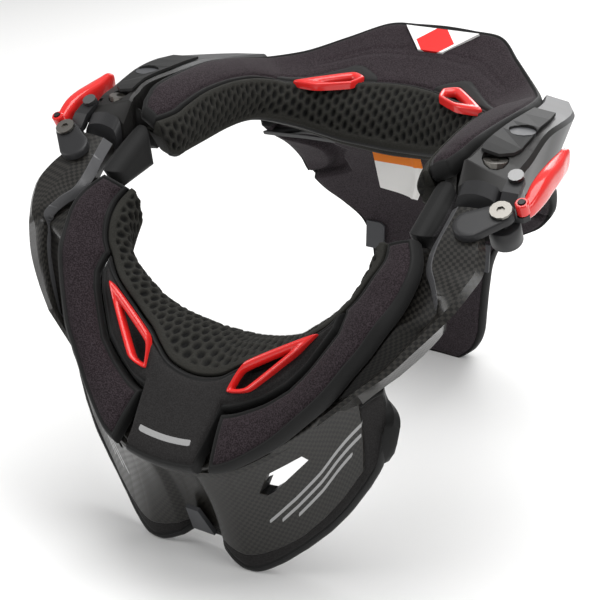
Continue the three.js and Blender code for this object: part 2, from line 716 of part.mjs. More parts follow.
// Ring, the pocket that it sits in and the opening behind it; shares say how large the opening is
function vent(table, facing, { height, proud, tip_share, end_share }) {
  const { origin, right, up, flat } = ventFrame(table, facing);
  const hole = flat.map(([x, y], i) => {
    const share = i === 0 ? tip_share : end_share;
    return [x * share, y * share];
  });
  const ring = plateOn(origin, right, up, flat, proud - height, proud, hole);
  const pocket = plateOn(origin, right, up, grow(flat, SEAT), proud - height - SEAT, proud + 9);
  const through = plateOn(origin, right, up, hole, -14, 0);
  return { ring, pocket, through };
}

const NECKWARDS = new THREE.Vector3(0, -0.7, 0.7);
const frontVent = vent(FRONT_VENT, UP, FRONT_VENT_RING);
const rearVent = vent(REAR_VENT, UP, REAR_VENT_RING);
const both = (tool) => [tool, mirror(tool)];
const frontVentCuts = [...both(frontVent.pocket), ...both(frontVent.through)];
const rearVentCuts = [...both(rearVent.pocket)];


const ARM_SCREW_PLACE = at(1.18, 0, -0.011);
const BUTTON_PLACE = at(1.202, 0.1475, 0.029);

// Latch: every size in its own frame, along x, up the arm and out of the cap
const LATCH = at(1.348, -0.314, -0.0635);
const EX = new THREE.Vector3(1, 0, 0);
const EY = new THREE.Vector3(0, 0.866, 0.5).normalize();
const EZ = new THREE.Vector3(0, -0.5, 0.866).normalize();
const onLatch = (x, y, z = 0) => LATCH.clone().addScaledVector(EX, x).addScaledVector(EY, y)
  .addScaledVector(EZ, z);
const PIN_PLACE = [-1.6, 23.8];
const HINGE_PLACE = [8.8, 5.5];

// Outline of a bar with two round ends
function roundedBar([ax, ay], ra, [bx, by], rb, steps = 3) {
  const turn = Math.atan2(by - ay, bx - ax);
  const points = [];
  for (let i = 0; i <= steps; i += 1) {
    const t = turn + Math.PI / 2 + Math.PI * i / steps;
    points.push([ax + ra * Math.cos(t), ay + ra * Math.sin(t)]);
  }
  for (let i = 0; i <= steps; i += 1) {
    const t = turn - Math.PI / 2 + Math.PI * i / steps;
    points.push([bx + rb * Math.cos(t), by + rb * Math.sin(t)]);
  }
  return points;
}
const latchSlab = (outline, low, high) => plateOn(LATCH, EX, EY, outline, low, high);
const latchPost = ([x, y], radius, low, high, sides = ROUND) =>
  post(onLatch(x, y), EZ, radius, low, high, sides);

const capTop = -PIVOT_SCREW.head - SEAT;
const capFoot = capTop - LATCH_PLATE.thick;
const linkTop = capFoot - SEAT;
const housingTop = linkTop - LINK.thick - SEAT;
const pinHigh = -LINK_PIN.head - 1;
const capOutline = (extra) => roundedBar([-12.3, -10.5], LATCH_PLATE.wide + extra,
  [0, 0], LATCH_PLATE.narrow + extra);

function screw(origin, axis, { radius, head, socket, depth }, shank = 0, length = 0) {
  const body = post(origin, axis, radius, 0, head);
  const top = cut(body, post(origin, axis, socket, head - depth, head + 5, 6));
  return shank ? join(top, post(origin, axis, shank, -length, 0.01)) : top;
}

// Link: a bent bar that rises to the pin, with a lug and a post for the lever
function latchLink() {
  const profile = [
    [-6, linkTop], [7, linkTop], [14, pinHigh - SEAT], [30, pinHigh - SEAT],
    [30, pinHigh - SEAT - LINK.thick], [16, pinHigh - SEAT - LINK.thick],
    [9, linkTop - LINK.thick], [-6, linkTop - LINK.thick],
  ];
  const side = plateOn(LATCH, EY, EZ, profile, -9, 9);
  const outline = latchSlab(roundedBar([0, 0], LINK.half_width, PIN_PLACE, LINK.half_width), -30, 10);
  const bar = fromSolid(solid(side).intersect(solid(outline)));
  const lug = latchSlab(roundedBar([1, 3], 3, HINGE_PLACE, LEVER_PIN.knuckle),
    linkTop - LINK.thick, linkTop);
  const body = join(bar, lug, latchPost(HINGE_PLACE, LEVER_PIN.radius, linkTop - 1, linkTop + 8.6));
  return cut(body, latchPost([0, 0], LINK.hole, -30, 5), latchPost(PIN_PLACE, LINK_PIN.shank + SEAT, -30, 5));
}

// Lever: a paddle from its knuckle up beside the arm
const LEVER = [
  // x, y, z, half height, half thickness
  [1.435, -0.255, -0.082, 3.6, 1.8],
  [1.450, -0.200, -0.068, 4.8, 3.2],
  [1.455, -0.100, -0.046, 6.5, 4.2],
  [1.455, 0.010, -0.030, 6.5, 4.2],
  [1.455, 0.060, -0.020, 6.0, 4.0],
  [1.455, 0.100, -0.015, 6.5, 3.0],
  [1.455, 0.125, -0.008, 6.0, 2.4],
  [1.455, 0.145, -0.005, 3.5, 1.6],
];
function latchLever() {
  const rings = smoothRows(LEVER, 1).map(([x, y, z, high, thick], i, all) => {
    const c = at(x, y, z);
    const before = at(...all[Math.max(i - 1, 0)].slice(0, 3));
    const after = at(...all[Math.min(i + 1, all.length - 1)].slice(0, 3));
    const up = EX.clone().cross(unit(before, after)).normalize();
    return [[1, 0.3], [0.6, 0.9], [-0.6, 0.9], [-1, 0.3], [-1, -0.4], [-0.6, -0.95], [0.6, -0.95], [1, -0.4]]
      .map(([a, b]) => shift(shift(c, EX, a * thick), up, b * high));
  });
  const knuckle = latchPost(HINGE_PLACE, LEVER_PIN.knuckle, linkTop + SEAT, linkTop + SEAT + LEVER_PIN.height);
  const bore = latchPost(HINGE_PLACE, LEVER_PIN.hole, -40, 30);
  const lugRoom = latchPost(HINGE_PLACE, LEVER_PIN.knuckle + 1.2, -40, linkTop + SEAT);
  return cut(join(loft(rings), knuckle), bore, lugRoom);
}

const housingCut = latchPost([0, 0], HOUSING.radius + SEAT, housingTop - HOUSING.height - 2, linkTop + SEAT);
const frontArmCuts = both(housingCut).concat(both(latchSlab(capOutline(SEAT), capFoot - SEAT, 10)),
  both(latchSlab([[-5.2, -6], [14, -6], [14, 20], [-5.2, 20]], housingTop, 10)));
const rearArmCuts = both(housingCut).concat(
  both(latchSlab([[-6.4, 10], [14, 10], [14, 30], [-6.4, 30]], pinHigh - 3 * SEAT - LINK.thick, 12)),
  both(latchPost(PIN_PLACE, 4.4, -22, 0)),
  both(latchSlab([[PIN_PLACE[0], 19.4], [14, 19.4], [14, 28.2], [PIN_PLACE[0], 28.2]], -22, 0)),
  both(post(ARM_SCREW_PLACE, UP, ARM_SCREW.radius + SEAT, -SEAT, 12)),
  both(post(BUTTON_PLACE, UP, BUTTON.radius + SEAT, -SEAT, 12)));

const housing = cut(latchPost([0, 0], HOUSING.radius, housingTop - HOUSING.height, housingTop),
  latchPost([0, 0], PIVOT_SCREW.shank + SEAT, -40, 0),
  post(onLatch(0, 0, housingTop - HOUSING.height * 0.5), unit(new THREE.Vector3(), at(0.3, -0.95, -0.1)),
    HOUSING.radius * 0.45, 4, 14));
addPair('latch_plate', cut(latchSlab(capOutline(0), capFoot, capTop),
  latchPost([0, 0], PIVOT_SCREW.shank + SEAT, -30, 5)), ...PLASTIC);
addPair('latch_housing', housing, ...PLASTIC);
addPair('pivot_screw', screw(onLatch(0, 0, -PIVOT_SCREW.head), EZ, PIVOT_SCREW,
  PIVOT_SCREW.shank, PIVOT_SCREW.length), ...STEEL);
addPair('latch_link', latchLink(), ...PLASTIC);
addPair('link_pin', join(latchPost(PIN_PLACE, LINK_PIN.radius, pinHigh, pinHigh + LINK_PIN.head),
  latchPost(PIN_PLACE, LINK_PIN.shank, pinHigh - LINK_PIN.length, pinHigh + 0.01)), ...STEEL);
addPair('latch_lever', latchLever(), ...RED);
addPair('arm_screw', screw(ARM_SCREW_PLACE, UP, ARM_SCREW), ...STEEL);
addPair('shelf_button', post(BUTTON_PLACE, UP, BUTTON.radius, 0, BUTTON.height), ...GREY);

add('front_frame', cut(frontFrame(), ...frontArmCuts), ...CARBON);
addPair('front_pad', cut(frontPad(), frontVent.pocket, frontVent.through), ...NEOPRENE);
add('front_center_panel', cut(centrePanel(), ...frontVentCuts), ...PANEL);
add('front_mesh_roll', cut(loft(wholeRing(frontHalf, flipAll).map(frontRollSection)), ...both(frontVent.pocket)),
  ...MESH);
addPair('front_vent', frontVent.ring, ...RED);
addPair('rear_vent', rearVent.ring, ...RED);

// Snap and badge on the deck
const DECK_NORMAL = new THREE.Vector3(0, -0.40, 0.916).normalize();
const SNAP_SEAT = at(0, 0.735, -0.048);
const BADGE_NORMAL = new THREE.Vector3(0, -0.50, 0.866).normalize();
const BADGE_PLACE = at(0, 0.905, 0.045);
const BADGE_OUTLINE = [[-26, 10.5], [26, 10.5], [8.5, -10.5], [-8.5, -10.5]];
const badgeUp = BADGE_NORMAL.clone().cross(new THREE.Vector3(1, 0, 0)).normalize();
const badge = (grown, low, high) => plateOn(BADGE_PLACE, new THREE.Vector3(1, 0, 0), badgeUp,
  grow(BADGE_OUTLINE, grown), low, high);

add('rear_deck_pad', cut(loft(wholeRing(rearHalf, flipAll).map(rearPadSection)), ...rearVentCuts,
  post(SNAP_SEAT, DECK_NORMAL, SNAP.radius + SEAT, -SEAT, 20), badge(SEAT, -SEAT, 20)), ...NEOPRENE);
add('rear_mesh_roll', cut(loft(wholeRing(rearHalf, flipAll).map(rearRollSection)), ...rearVentCuts),
  ...MESH);
add('rear_snap', post(SNAP_SEAT, DECK_NORMAL, SNAP.radius, 0, SNAP.height), ...GREY);
add('deck_badge', badge(0, 0, BADGE.height), ...RED);

// Rear frame with its latch notches, and the cover on its shelf
const rearFrame = loft(wholeRing(rearFrameStations(), (s) =>
  Object.fromEntries(Object.entries(s).map(([k, v]) => [k, v && v.isVector3 ? flip(v) : v])))
  .map(rearFrameSection));
add('rear_frame', cut(rearFrame, ...rearArmCuts), ...CARBON);

const SHELF = [
  // station of the frame, outer share, inner share
  [3, 0.52, 0.86], [4, 0.32, 0.90], [5, 0.26, 0.90], [6, 0.24, 0.90],
  [7, 0.24, 0.90], [8, 0.26, 0.90], [9, 0.34, 0.90],
];
const frameStations = rearFrameStations();
const shelf = loft(SHELF.map(([station, from, to]) => {
  const { outer, inner } = frameStations[station];
  const [a, b] = [mix(outer, inner, from), mix(outer, inner, to)];
  return [shift(a, UP, 0.6 + SHELF_COVER), shift(b, UP, 0.6 + SHELF_COVER), shift(b, UP, 0.6), shift(a, UP, 0.6)];
}));
addPair('shelf_plate', cut(shelf, post(BUTTON_PLACE, UP, BUTTON.radius + SEAT, -10, 20)), ...PLASTIC);

// Spacer between the arms, and the cloth sleeve beside the neck
const SPACER = [
  // share of the width, drop of the top edge
  [0, 6], [0.1, 2.2], [0.5, 0], [0.9, 2.2], [1, 6],
];
const spacerRing = (y, top, foot) => {
  const points = SPACER.map(([share, drop]) => at(1.060 + 0.228 * share, y, top).setZ(top * PLATE_DROP - drop));
  return [...points, at(1.288, y, foot), at(1.060, y, foot)];
};
addPair('arm_spacer', cut(loft([spacerRing(-0.154, -0.028, -0.150), spacerRing(-0.206, -0.056, -0.165)]),
  housingCut), ...PLASTIC);

const SLEEVE_INNER = 0.895;
const SLEEVE_OUTER = 1.030;
const SLEEVE = [
  // y, z of the side outline
  [-0.086, -0.060], [-0.432, -0.150], [-0.341, -0.212], [-0.040, -0.186],
];
const sleeveOutline = SLEEVE.map(([y, z]) => [y * FRONT_REACH, z * PLATE_DROP]);
const sleeveSlab = (x0, x1, inset) => plateOn(new THREE.Vector3(0, 0, 0), new THREE.Vector3(0, 1, 0), UP,
  grow(sleeveOutline, -inset), x0, x1);
const [sleeveIn, sleeveOut] = [SLEEVE_INNER * COLLAR_HALF_WIDTH, SLEEVE_OUTER * COLLAR_HALF_WIDTH];
addPair('side_sleeve', join(sleeveSlab(sleeveIn, sleeveOut, 1.4), sleeveSlab(sleeveIn + 1.5, sleeveOut - 1.5, 0)),
  ...NEOPRENE);

// Back pad, its backing, vents and tabs
const backVent = vent(BACK_VENT_CORNERS, NECKWARDS, BACK_VENT_RING);
const BACK_TAB_PLACE = at(0.40, 0.893, -0.665);
const backTab = plateOn(BACK_TAB_PLACE, new THREE.Vector3(-1, 0, 0), UP,
  [[-7, -10], [7, -10], [7, 8], [4, 10], [-7, 10]], 0, 1.8);
addPair('back_vent', backVent.ring, ...PLASTIC);
addPair('back_tab', backTab, ...GREY);
add('back_pad', cut(backPlate(0, BACK_PAD_THICK, 0, 0, 13), floorCut, ...both(backVent.pocket)),
  ...NEOPRENE);
const strut = plateOn(at(0, 0.892, 0), new THREE.Vector3(1, 0, 0), UP,
  [[-BACK_STRUT.half_width * 1.4, -BACK_STRUT.foot], [BACK_STRUT.half_width * 1.4, -BACK_STRUT.foot],
    [BACK_STRUT.half_width, -BACK_STRUT.top], [-BACK_STRUT.half_width, -BACK_STRUT.top]],
  0, BACK_STRUT.thick);
add('back_shell', join(backPlate(BACK_SHELL_INSET, BACK_SHELL_THICK, BACK_PAD_THICK + 2, 0, 12), strut),
  ...PLASTIC);

// Cloth tag behind the roll
const TAG = [[-18, 0], [14, -0.5], [21, 22], [16, 36], [13, 35], [-10, 32]];
add('size_tag', plateOn(at(0, 0.623, -0.219), new THREE.Vector3(1, 0, 0), new THREE.Vector3(0, -0.06, 1),
  TAG.map(([x, drop]) => [x, -drop]), 0, TAG_THICK), 0xe9e7e2, 0.8);

// The whole stands on the plane z = 0, centred on its bounds
const bounds = new THREE.Box3().setFromObject(group);
const middle = bounds.getCenter(new THREE.Vector3());
group.children.forEach((mesh) => mesh.geometry.translate(-middle.x, -middle.y, -bounds.min.z));

export default group;
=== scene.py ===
import bmesh
import bpy
import numpy as np
from mathutils import Matrix, Vector


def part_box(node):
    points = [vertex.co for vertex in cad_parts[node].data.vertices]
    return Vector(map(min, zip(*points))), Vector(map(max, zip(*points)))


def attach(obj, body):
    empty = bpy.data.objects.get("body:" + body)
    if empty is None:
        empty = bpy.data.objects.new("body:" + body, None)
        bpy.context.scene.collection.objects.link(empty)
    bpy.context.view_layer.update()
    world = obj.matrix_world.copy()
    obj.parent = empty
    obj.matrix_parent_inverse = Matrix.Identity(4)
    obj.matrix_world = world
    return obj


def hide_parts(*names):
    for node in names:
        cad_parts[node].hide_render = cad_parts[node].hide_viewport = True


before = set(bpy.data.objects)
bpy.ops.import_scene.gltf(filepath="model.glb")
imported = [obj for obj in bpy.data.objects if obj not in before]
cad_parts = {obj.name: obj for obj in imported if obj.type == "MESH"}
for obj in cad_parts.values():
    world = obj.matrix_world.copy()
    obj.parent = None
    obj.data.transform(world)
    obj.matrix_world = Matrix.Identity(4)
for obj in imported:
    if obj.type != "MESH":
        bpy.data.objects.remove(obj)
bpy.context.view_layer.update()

# Camera. It looks down on the collar from the front left of the wearer, 24.5 degrees above
# level, through a 78 mm lens, and is placed from the big arm screws that the collar is hung on.
LENS = 78.0
SCREW_X = 0.118
SCREW_FOOT = -0.0022
CAMERA_SPOT = np.array([0.35062, -0.58462, 0.20658])
LOOK_RIGHT = Vector((0.86032, 0.50976, 0.0))
LOOK_UP = Vector((-0.21140, 0.35678, 0.90995))


def linked(name, data):
    """A new object of some data, in the scene."""
    made = bpy.data.objects.new(name, data)
    bpy.context.scene.collection.objects.link(made)
    return made


screw_low, screw_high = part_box("arm_screw_left")
HUB = np.array([(screw_low.x + screw_high.x) / 2 - SCREW_X,
                (screw_low.y + screw_high.y) / 2, screw_low.z - SCREW_FOOT])
camera_data = bpy.data.cameras.new("photo_camera")
camera_data.lens = LENS
camera_data.sensor_width = 36.0
camera_data.clip_start = 0.05
camera = linked("photo_camera", camera_data)
look_back = LOOK_RIGHT.cross(LOOK_UP).normalized()
turned = Matrix((LOOK_RIGHT.normalized(), look_back.cross(LOOK_RIGHT).normalized(), look_back))
camera.matrix_world = Matrix.Translation(Vector(CAMERA_SPOT + HUB)) @ turned.transposed().to_4x4()
bpy.context.scene.camera = camera

# Floor and light. A pale seamless sheet runs under the brace. Large soft lamps stand overhead,
# at both sides of the camera and behind, where the last one draws the bright rims.
FLOOR_HALF = 6.0
FLOOR_COLOUR = (0.86, 0.86, 0.855, 1)
LAMP_AIM = (0, 0, 0.12)
WORLD_STRENGTH = 0.42
SPECULAR = 0.26
LAMPS = {
    # name: place, side of the square, watts
    "overhead_lamp": ((0.1, 0.1, 1.5), 1.1, 21),
    "left_lamp": ((-1.1, -0.8, 0.8), 0.7, 7),
    "right_lamp": ((1.3, -0.2, 0.7), 0.6, 7),
    "back_lamp": ((-0.2, 1.5, 0.9), 0.9, 11),
}


def plug(tree, made, inputs):
    """Sets plain inputs of a shader node and links the others; returns the node."""
    for key, value in inputs.items():
        if isinstance(value, bpy.types.NodeSocket):
            tree.links.new(value, made.inputs[key])
        else:
            made.inputs[key].default_value = value
    return made


def new_material(name, colour, roughness, metallic=0.0):
    """A Principled material with plain values on its sockets; returns it, its tree and shader."""
    material = bpy.data.materials.new(name)
    material.use_nodes = True
    tree = material.node_tree
    shader = plug(tree, tree.nodes["Principled BSDF"], {
        "Base Color": (*colour[:3], 1), "Roughness": roughness, "Metallic": metallic,
        "Specular IOR Level": SPECULAR})
    return material, tree, shader


floor_mesh = bpy.data.meshes.new("studio_floor")
floor_mesh.from_pydata([(x * FLOOR_HALF, y * FLOOR_HALF, 0)
                        for x, y in ((-1, -1), (1, -1), (1, 1), (-1, 1))], [], [(0, 1, 2, 3)])
studio_floor = linked("studio_floor", floor_mesh)
floor_mesh.materials.append(new_material("pale_floor", FLOOR_COLOUR, 0.7)[0])
for lamp_name, (spot, side, watts) in LAMPS.items():
    lamp_data = bpy.data.lights.new(lamp_name, "AREA")
    lamp_data.size = side
    lamp_data.energy = watts
    lamp = linked(lamp_name, lamp_data)
    lamp.location = spot
    lamp.rotation_euler = (Vector(LAMP_AIM) - Vector(spot)).to_track_quat("-Z", "Y").to_euler()
world = bpy.data.worlds.new("studio_world")
world.use_nodes = True
backdrop = world.node_tree.nodes["Background"]
backdrop.inputs["Color"].default_value = (1, 1, 1, 1)
backdrop.inputs["Strength"].default_value = WORLD_STRENGTH
bpy.context.scene.world = world
bpy.context.scene.view_settings.view_transform = "Standard"

# Front pads. Two neoprene pads lie along the front arms: heathered foam-backed cloth, crowned,
# bound all round with smooth black edging that is sewn down in a narrow groove.
HALF_WIDTH = 0.100
FRONT_REACH = 0.100
REAR_REACH = 0.200
DROP = 0.200
FRONT_BAND = [
    # outer x, y, z, mesh line x, y, z, neck edge x, y, z, as shares of width, reach and drop
    [0.960, -0.460, -0.150, 0.800, -0.430, -0.185, 0.750, -0.420, -0.210],
    [1.025, -0.558, -0.182, 0.825, -0.520, -0.215, 0.750, -0.480, -0.250],
    [1.048, -0.650, -0.214, 0.805, -0.620, -0.248, 0.745, -0.530, -0.290],
    [1.032, -0.750, -0.260, 0.770, -0.690, -0.290, 0.720, -0.560, -0.330],
    [0.988, -0.862, -0.305, 0.720, -0.725, -0.325, 0.675, -0.575, -0.365],
    [0.940, -0.930, -0.360, 0.660, -0.770, -0.360, 0.620, -0.580, -0.395],
    [0.880, -0.995, -0.412, 0.590, -0.800, -0.390, 0.550, -0.580, -0.425],
    [0.800, -1.070, -0.478, 0.500, -0.815, -0.430, 0.470, -0.580, -0.455],
    [0.700, -1.130, -0.540, 0.420, -0.850, -0.450, 0.380, -0.575, -0.475],
    [0.560, -1.215, -0.615, 0.340, -0.890, -0.465, 0.290, -0.565, -0.490],
    [0.375, -1.315, -0.678, 0.250, -0.950, -0.485, 0.195, -0.555, -0.500],
    [0.200, -1.348, -0.702, 0.150, -0.990, -0.515, 0.095, -0.545, -0.507],
    [0.000, -1.360, -0.710, 0.000, -1.000, -0.530, 0.000, -0.540, -0.510],
]
PANEL_SHARE = np.array([
    # station, share of the band's width that the centre panel takes
    [0, 0.0], [3.9, 0.0], [4, 0.05], [5, 0.27], [6, 0.37], [7, 0.45], [8, 0.52], [9, 0.50],
    [10, 0.45], [10.5, 0.42], [11, 0.99], [12, 1.0],
])
PAD_STOP = 10.5
PAD_THICK = 0.009
PAD_SPACING = 0.0013
SEAT = 0.00035
PAD_CROWN = 0.002
GROOVE_SHARE = 0.012
BINDING = 0.0032
PUFF_RUN = 0.003
SEAM_RUN = 0.0008
FLOOR_GAP = 0.0001
FRONT_VENT = [[0.680, -0.826, -0.360], [0.293, -0.969, -0.467], [0.246, -1.077, -0.540],
              [0.374, -1.070, -0.523]]
VENT_DEPTH = 0.0065
UPWARDS = np.array([0.0, 0.0, 1.0])
MARK_GREY = (0.30, 0.30, 0.30)
BOUND_BLACK = (0.012, 0.012, 0.012)
KNIT_DEPTH = 0.0004


def place(shares):
    """Points of a table in metres: x by half width, y by the reach on its side, z by the drop."""
    p = np.asarray(shares, float)
    reach = np.where(p[..., 1] < 0, FRONT_REACH, REAR_REACH)
    return np.stack([p[..., 0] * HALF_WIDTH, p[..., 1] * reach, p[..., 2] * DROP], -1) + HUB


def hermite(a, b, slope_a, slope_b, t):
    """Cubic from a to b with a slope at each end: (2t^3 - 3t^2 + 1) a + (t^3 - 2t^2 + t) slope_a
    + (3t^2 - 2t^3) b + (t^3 - t^2) slope_b."""
    return ((2 * t ** 3 - 3 * t ** 2 + 1) * a + (t ** 3 - 2 * t ** 2 + t) * slope_a
            + (3 * t ** 2 - 2 * t ** 3) * b + (t ** 3 - t ** 2) * slope_b)


def rows_at(rows, stations, mirror_end=True):
    """Catmull-Rom curve through a table's rows at any stations; the end may go on mirrored."""
    rows = np.asarray(rows, float)
    flip = np.tile([-1.0, 1, 1], rows.shape[1])[:rows.shape[1]]
    rows = np.vstack([rows, rows[-2] * flip if mirror_end else rows[-1]])
    s = np.clip(np.asarray(stations, float), 0, len(rows) - 2 - 1e-9)
    i = s.astype(int)
    t = (s - i)[:, None]
    a, b = rows[i], rows[i + 1]
    slope_a = (b - rows[np.maximum(i - 1, 0)]) / 2
    slope_b = (rows[np.minimum(i + 2, len(rows) - 1)] - a) / 2
    return hermite(a, b, slope_a, slope_b, t)


def lines_at(rows, stations, mirror_end=True):
    """The lines of a table at the stations, one array of placed points for each x, y, z."""
    values = rows_at(rows, stations, mirror_end)
    return [place(values[:, k:k + 3]) for k in range(0, values.shape[1] // 3 * 3, 3)]


def unit(v):
    """Vectors divided by their lengths."""
    return v / np.maximum(np.linalg.norm(v, axis=-1, keepdims=True), 1e-12)


def mixed(a, b, share):
    """From a to b by a share: a + (b - a) share."""
    return a + (b - a) * share


def ramp(x, start, run):
    """Rises from 0 to 1 over a run that begins at a start."""
    return np.clip((x - start) / run, 0, 1)


def mirrored(points):
    """The same points on the other side of the middle plane: x becomes 2 middle - x."""
    return np.stack([2 * HUB[0] - points[..., 0], points[..., 1], points[..., 2]], -1)


def whole(half):
    """A half that ends on the middle plane, carried on to the other side."""
    return np.concatenate([half, mirrored(half[:-1][::-1])])


def there_and_back(values):
    """Values along a half, carried on in reverse over the other side."""
    return np.concatenate([values, values[:-1][::-1]])


def whole_lines(rows, stations):
    """The lines of a table at the stations, on both sides."""
    return [whole(line) for line in lines_at(rows, stations)]


def even_stations(rows, first, last, spacing, crowd=0.0):
    """Stations whose points on the first line lie evenly apart, closer at both ends by crowd."""
    fine = np.linspace(first, last, 600)
    line = lines_at(rows, fine)[0]
    length = np.cumsum(np.linalg.norm(np.diff(line, axis=0, prepend=line[:1]), axis=1))
    return np.interp(crowded(max(6, int(length[-1] / spacing)), crowd) * length[-1], length, fine)


def crowded(count, crowd):
    """Shares from 0 to 1 that lie closer together at both ends: c - k sin(2 pi c) / (2 pi)."""
    c = np.linspace(0, 1, count)
    return c - crowd * np.sin(2 * np.pi * c) / (2 * np.pi)


def across_band(outer, inner, start, stop, columns, crowd=0.75):
    """Patch of points between two lines, from one share of the width to another on each row."""
    share = mixed(start[:, None], stop[:, None], crowded(columns, crowd)[None])
    return mixed(outer[:, None], inner[:, None], share[..., None]), share


def patch_normals(patch, towards):
    """Unit normals of a patch of points, on the side that looks towards a direction."""
    normals = unit(np.cross(np.gradient(patch, axis=0), np.gradient(patch, axis=1)))
    return normals if (normals @ np.asarray(towards)).mean() > 0 else -normals


def strip_normals(first, second):
    """Upward unit normals of the strip between two lines."""
    return patch_normals(np.stack([first, second], 1), UPWARDS)[:, 0]


def arc_lengths(patch, axis):
    """Metres along an axis of a patch, from its first point."""
    steps = np.diff(patch, axis=axis, prepend=np.take(patch, [0], axis))
    return np.cumsum(np.linalg.norm(steps, axis=-1), axis=axis)


def quarter_round(share):
    """Height share of a quarter circle at a share of its width: sqrt(1 - (1 - share)^2)."""
    return np.sqrt(np.clip(1 - (1 - share) ** 2, 0, 1))


def grid_quads(rows, columns, wrap=False):
    """Corner indices of a grid's quads; wrap joins the last column to the first."""
    i = np.arange(rows - 1)[:, None] * columns
    j = np.arange(columns if wrap else columns - 1)[None, :]
    k = (j + 1) % columns
    return np.stack([i + j, i + columns + j, i + columns + k, i + k], -1).reshape(-1, 4)


def mesh_piece(name, points, faces, uv=None, values=None, crease=None):
    """A mesh object at the origin. uv holds metres along and across for each face corner, values
    one number a point under each name. Doubles are merged and faces turned outwards."""
    mesh = bpy.data.meshes.new(name)
    mesh.from_pydata(points.reshape(-1, 3).tolist(), [], faces)
    if uv is not None:
        mesh.uv_layers.new(name="cloth").data.foreach_set("uv", uv.astype(np.float32).reshape(-1))
    for key, value in (values or {}).items():
        attribute = mesh.attributes.new(key, "FLOAT", "POINT")
        attribute.data.foreach_set("value", value.astype(np.float32).reshape(-1))
    work = bmesh.new()
    work.from_mesh(mesh)
    bmesh.ops.remove_doubles(work, verts=work.verts, dist=2e-6)
    bmesh.ops.dissolve_degenerate(work, edges=work.edges, dist=1e-7)
    bmesh.ops.recalc_face_normals(work, faces=work.faces)
    work.to_mesh(mesh)
    work.free()
    mesh.shade_smooth()
    if crease is not None:
        mesh.set_sharp_from_angle(angle=np.radians(crease))
    return linked(name, mesh)


def pillow(name, patch, thick, towards=UPWARDS, relief=0.0, binding=BINDING, seam=0.0010,
           puff=0.0012, round_off=0.0026, values=None):
    """A padded slab under a patch: a top and an underside that meet in a rounded edge. With d the
    distance to the edge, both sides rise as a quarter circle over round_off; the top dips in a
    seam at d = binding and puffs up past it as 1 - exp(-d); relief adds to its height. It stays
    above the floor."""
    along, across = arc_lengths(patch, 0), arc_lengths(patch, 1)
    d = np.maximum(np.minimum(np.minimum(along, along[-1:] - along),
                              np.minimum(across, across[:, -1:] - across)), 0)
    normals = patch_normals(patch, towards)
    rise = quarter_round(np.clip(d / round_off, 0, 1))
    top = thick / 2 * rise + relief * rise
    if binding:
        top = top + puff * (1 - np.exp(-np.maximum(d - binding, 0) / PUFF_RUN))
        top = top - seam * np.exp(-((d - binding) / SEAM_RUN) ** 2)
    middle = patch - normals * thick / 2
    sheets = np.stack([middle + normals * top[..., None],
                       middle - normals * (thick / 2 * rise)[..., None]])
    sheets[..., 2] = np.maximum(sheets[..., 2], FLOOR_GAP)
    quads = grid_quads(*patch.shape[:2])
    faces = np.concatenate([quads, quads[:, ::-1] + patch[..., 0].size])
    uv = np.stack([np.tile(along.reshape(-1), 2), np.tile(across.reshape(-1), 2)], -1)
    points_values = {"edge": np.stack([d, d * 0]).reshape(-1)}
    for key, value in (values or {}).items():
        points_values[key] = np.stack([value, value * 0]).reshape(-1)
    return mesh_piece(name, sheets, faces.tolist(), uv[faces.reshape(-1)], points_values)


def vent_plane(corners, facing):
    """Origin, right, up and normal of the plane of a vent's corners, and the corners in it."""
    p = place(corners)
    right = unit(p[0] - p[2])
    normal = unit(np.cross(right, p[1] - p[2]))
    normal = normal if normal @ facing > 0 else -normal
    up = unit(np.cross(normal, right))
    origin = p[1:].mean(0)
    return origin, right, up, normal, np.stack([(p - origin) @ right, (p - origin) @ up], -1)


def outline_distance(points, plane):
    """Metres from points to a vent's outline, measured in its plane: the least distance to its
    sides, each point's foot kept between a side's ends. Negative inside, where a line along x
    crosses the sides an odd number of times."""
    origin, right, up, _, a = plane
    flat = np.stack([(points - origin) @ right, (points - origin) @ up], -1)[..., None, :]
    b = np.roll(a, -1, 0)
    run = b - a
    t = np.clip(((flat - a) * run).sum(-1) / (run ** 2).sum(-1), 0, 1)
    nearest = np.linalg.norm(flat - a - t[..., None] * run, axis=-1).min(-1)
    x, y = flat[..., 0], flat[..., 1]
    reach = a[:, 0] + run[:, 0] * (y - a[:, 1]) / np.where(run[:, 1] == 0, 1e-12, run[:, 1])
    inside = (((a[:, 1] > y) != (b[:, 1] > y)) & (x < reach)).sum(-1) % 2 == 1
    return np.where(inside, -nearest, nearest)


def vent_pit(patch, plane, depth=VENT_DEPTH):
    """Height to add to a pad so that it sinks inside a vent on either side of the brace, and the
    distance to the vent's outline."""
    near = np.minimum(outline_distance(patch, plane), outline_distance(mirrored(patch), plane))
    return -depth * ramp(-near, 0.0012, 0.0006), near


def dress(piece, body, material, slot, *nodes):
    """Gives a piece its material and body, and lets it stand for nodes of the part; slot is not
    used.
    """
    piece.data.materials.clear()
    piece.data.materials.append(material)
    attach(piece, body)
    if nodes:
        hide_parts(*nodes)
    return piece


def paint(material, *nodes):
    """Puts a material on nodes of the part."""
    for node in nodes:
        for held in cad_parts[node].material_slots:
            held.link = "OBJECT"
            held.material = material


def node(tree, kind, inputs=None, **settings):
    """A shader node with its settings and its plain or linked inputs."""
    made = tree.nodes.new(kind)
    for key, value in settings.items():
        setattr(made, key, value)
    return plug(tree, made, inputs or {})


def math(tree, operation, *values):
    """The result of a math node on plain values or sockets."""
    return node(tree, "ShaderNodeMath", dict(enumerate(values)), operation=operation).outputs[0]


def point_value(tree, name):
    """A number that the mesh holds for each point."""
    return node(tree, "ShaderNodeAttribute", attribute_name=name).outputs["Fac"]


def object_spot(tree):
    """The place in the object, in metres."""
    return node(tree, "ShaderNodeTexCoord").outputs["Object"]


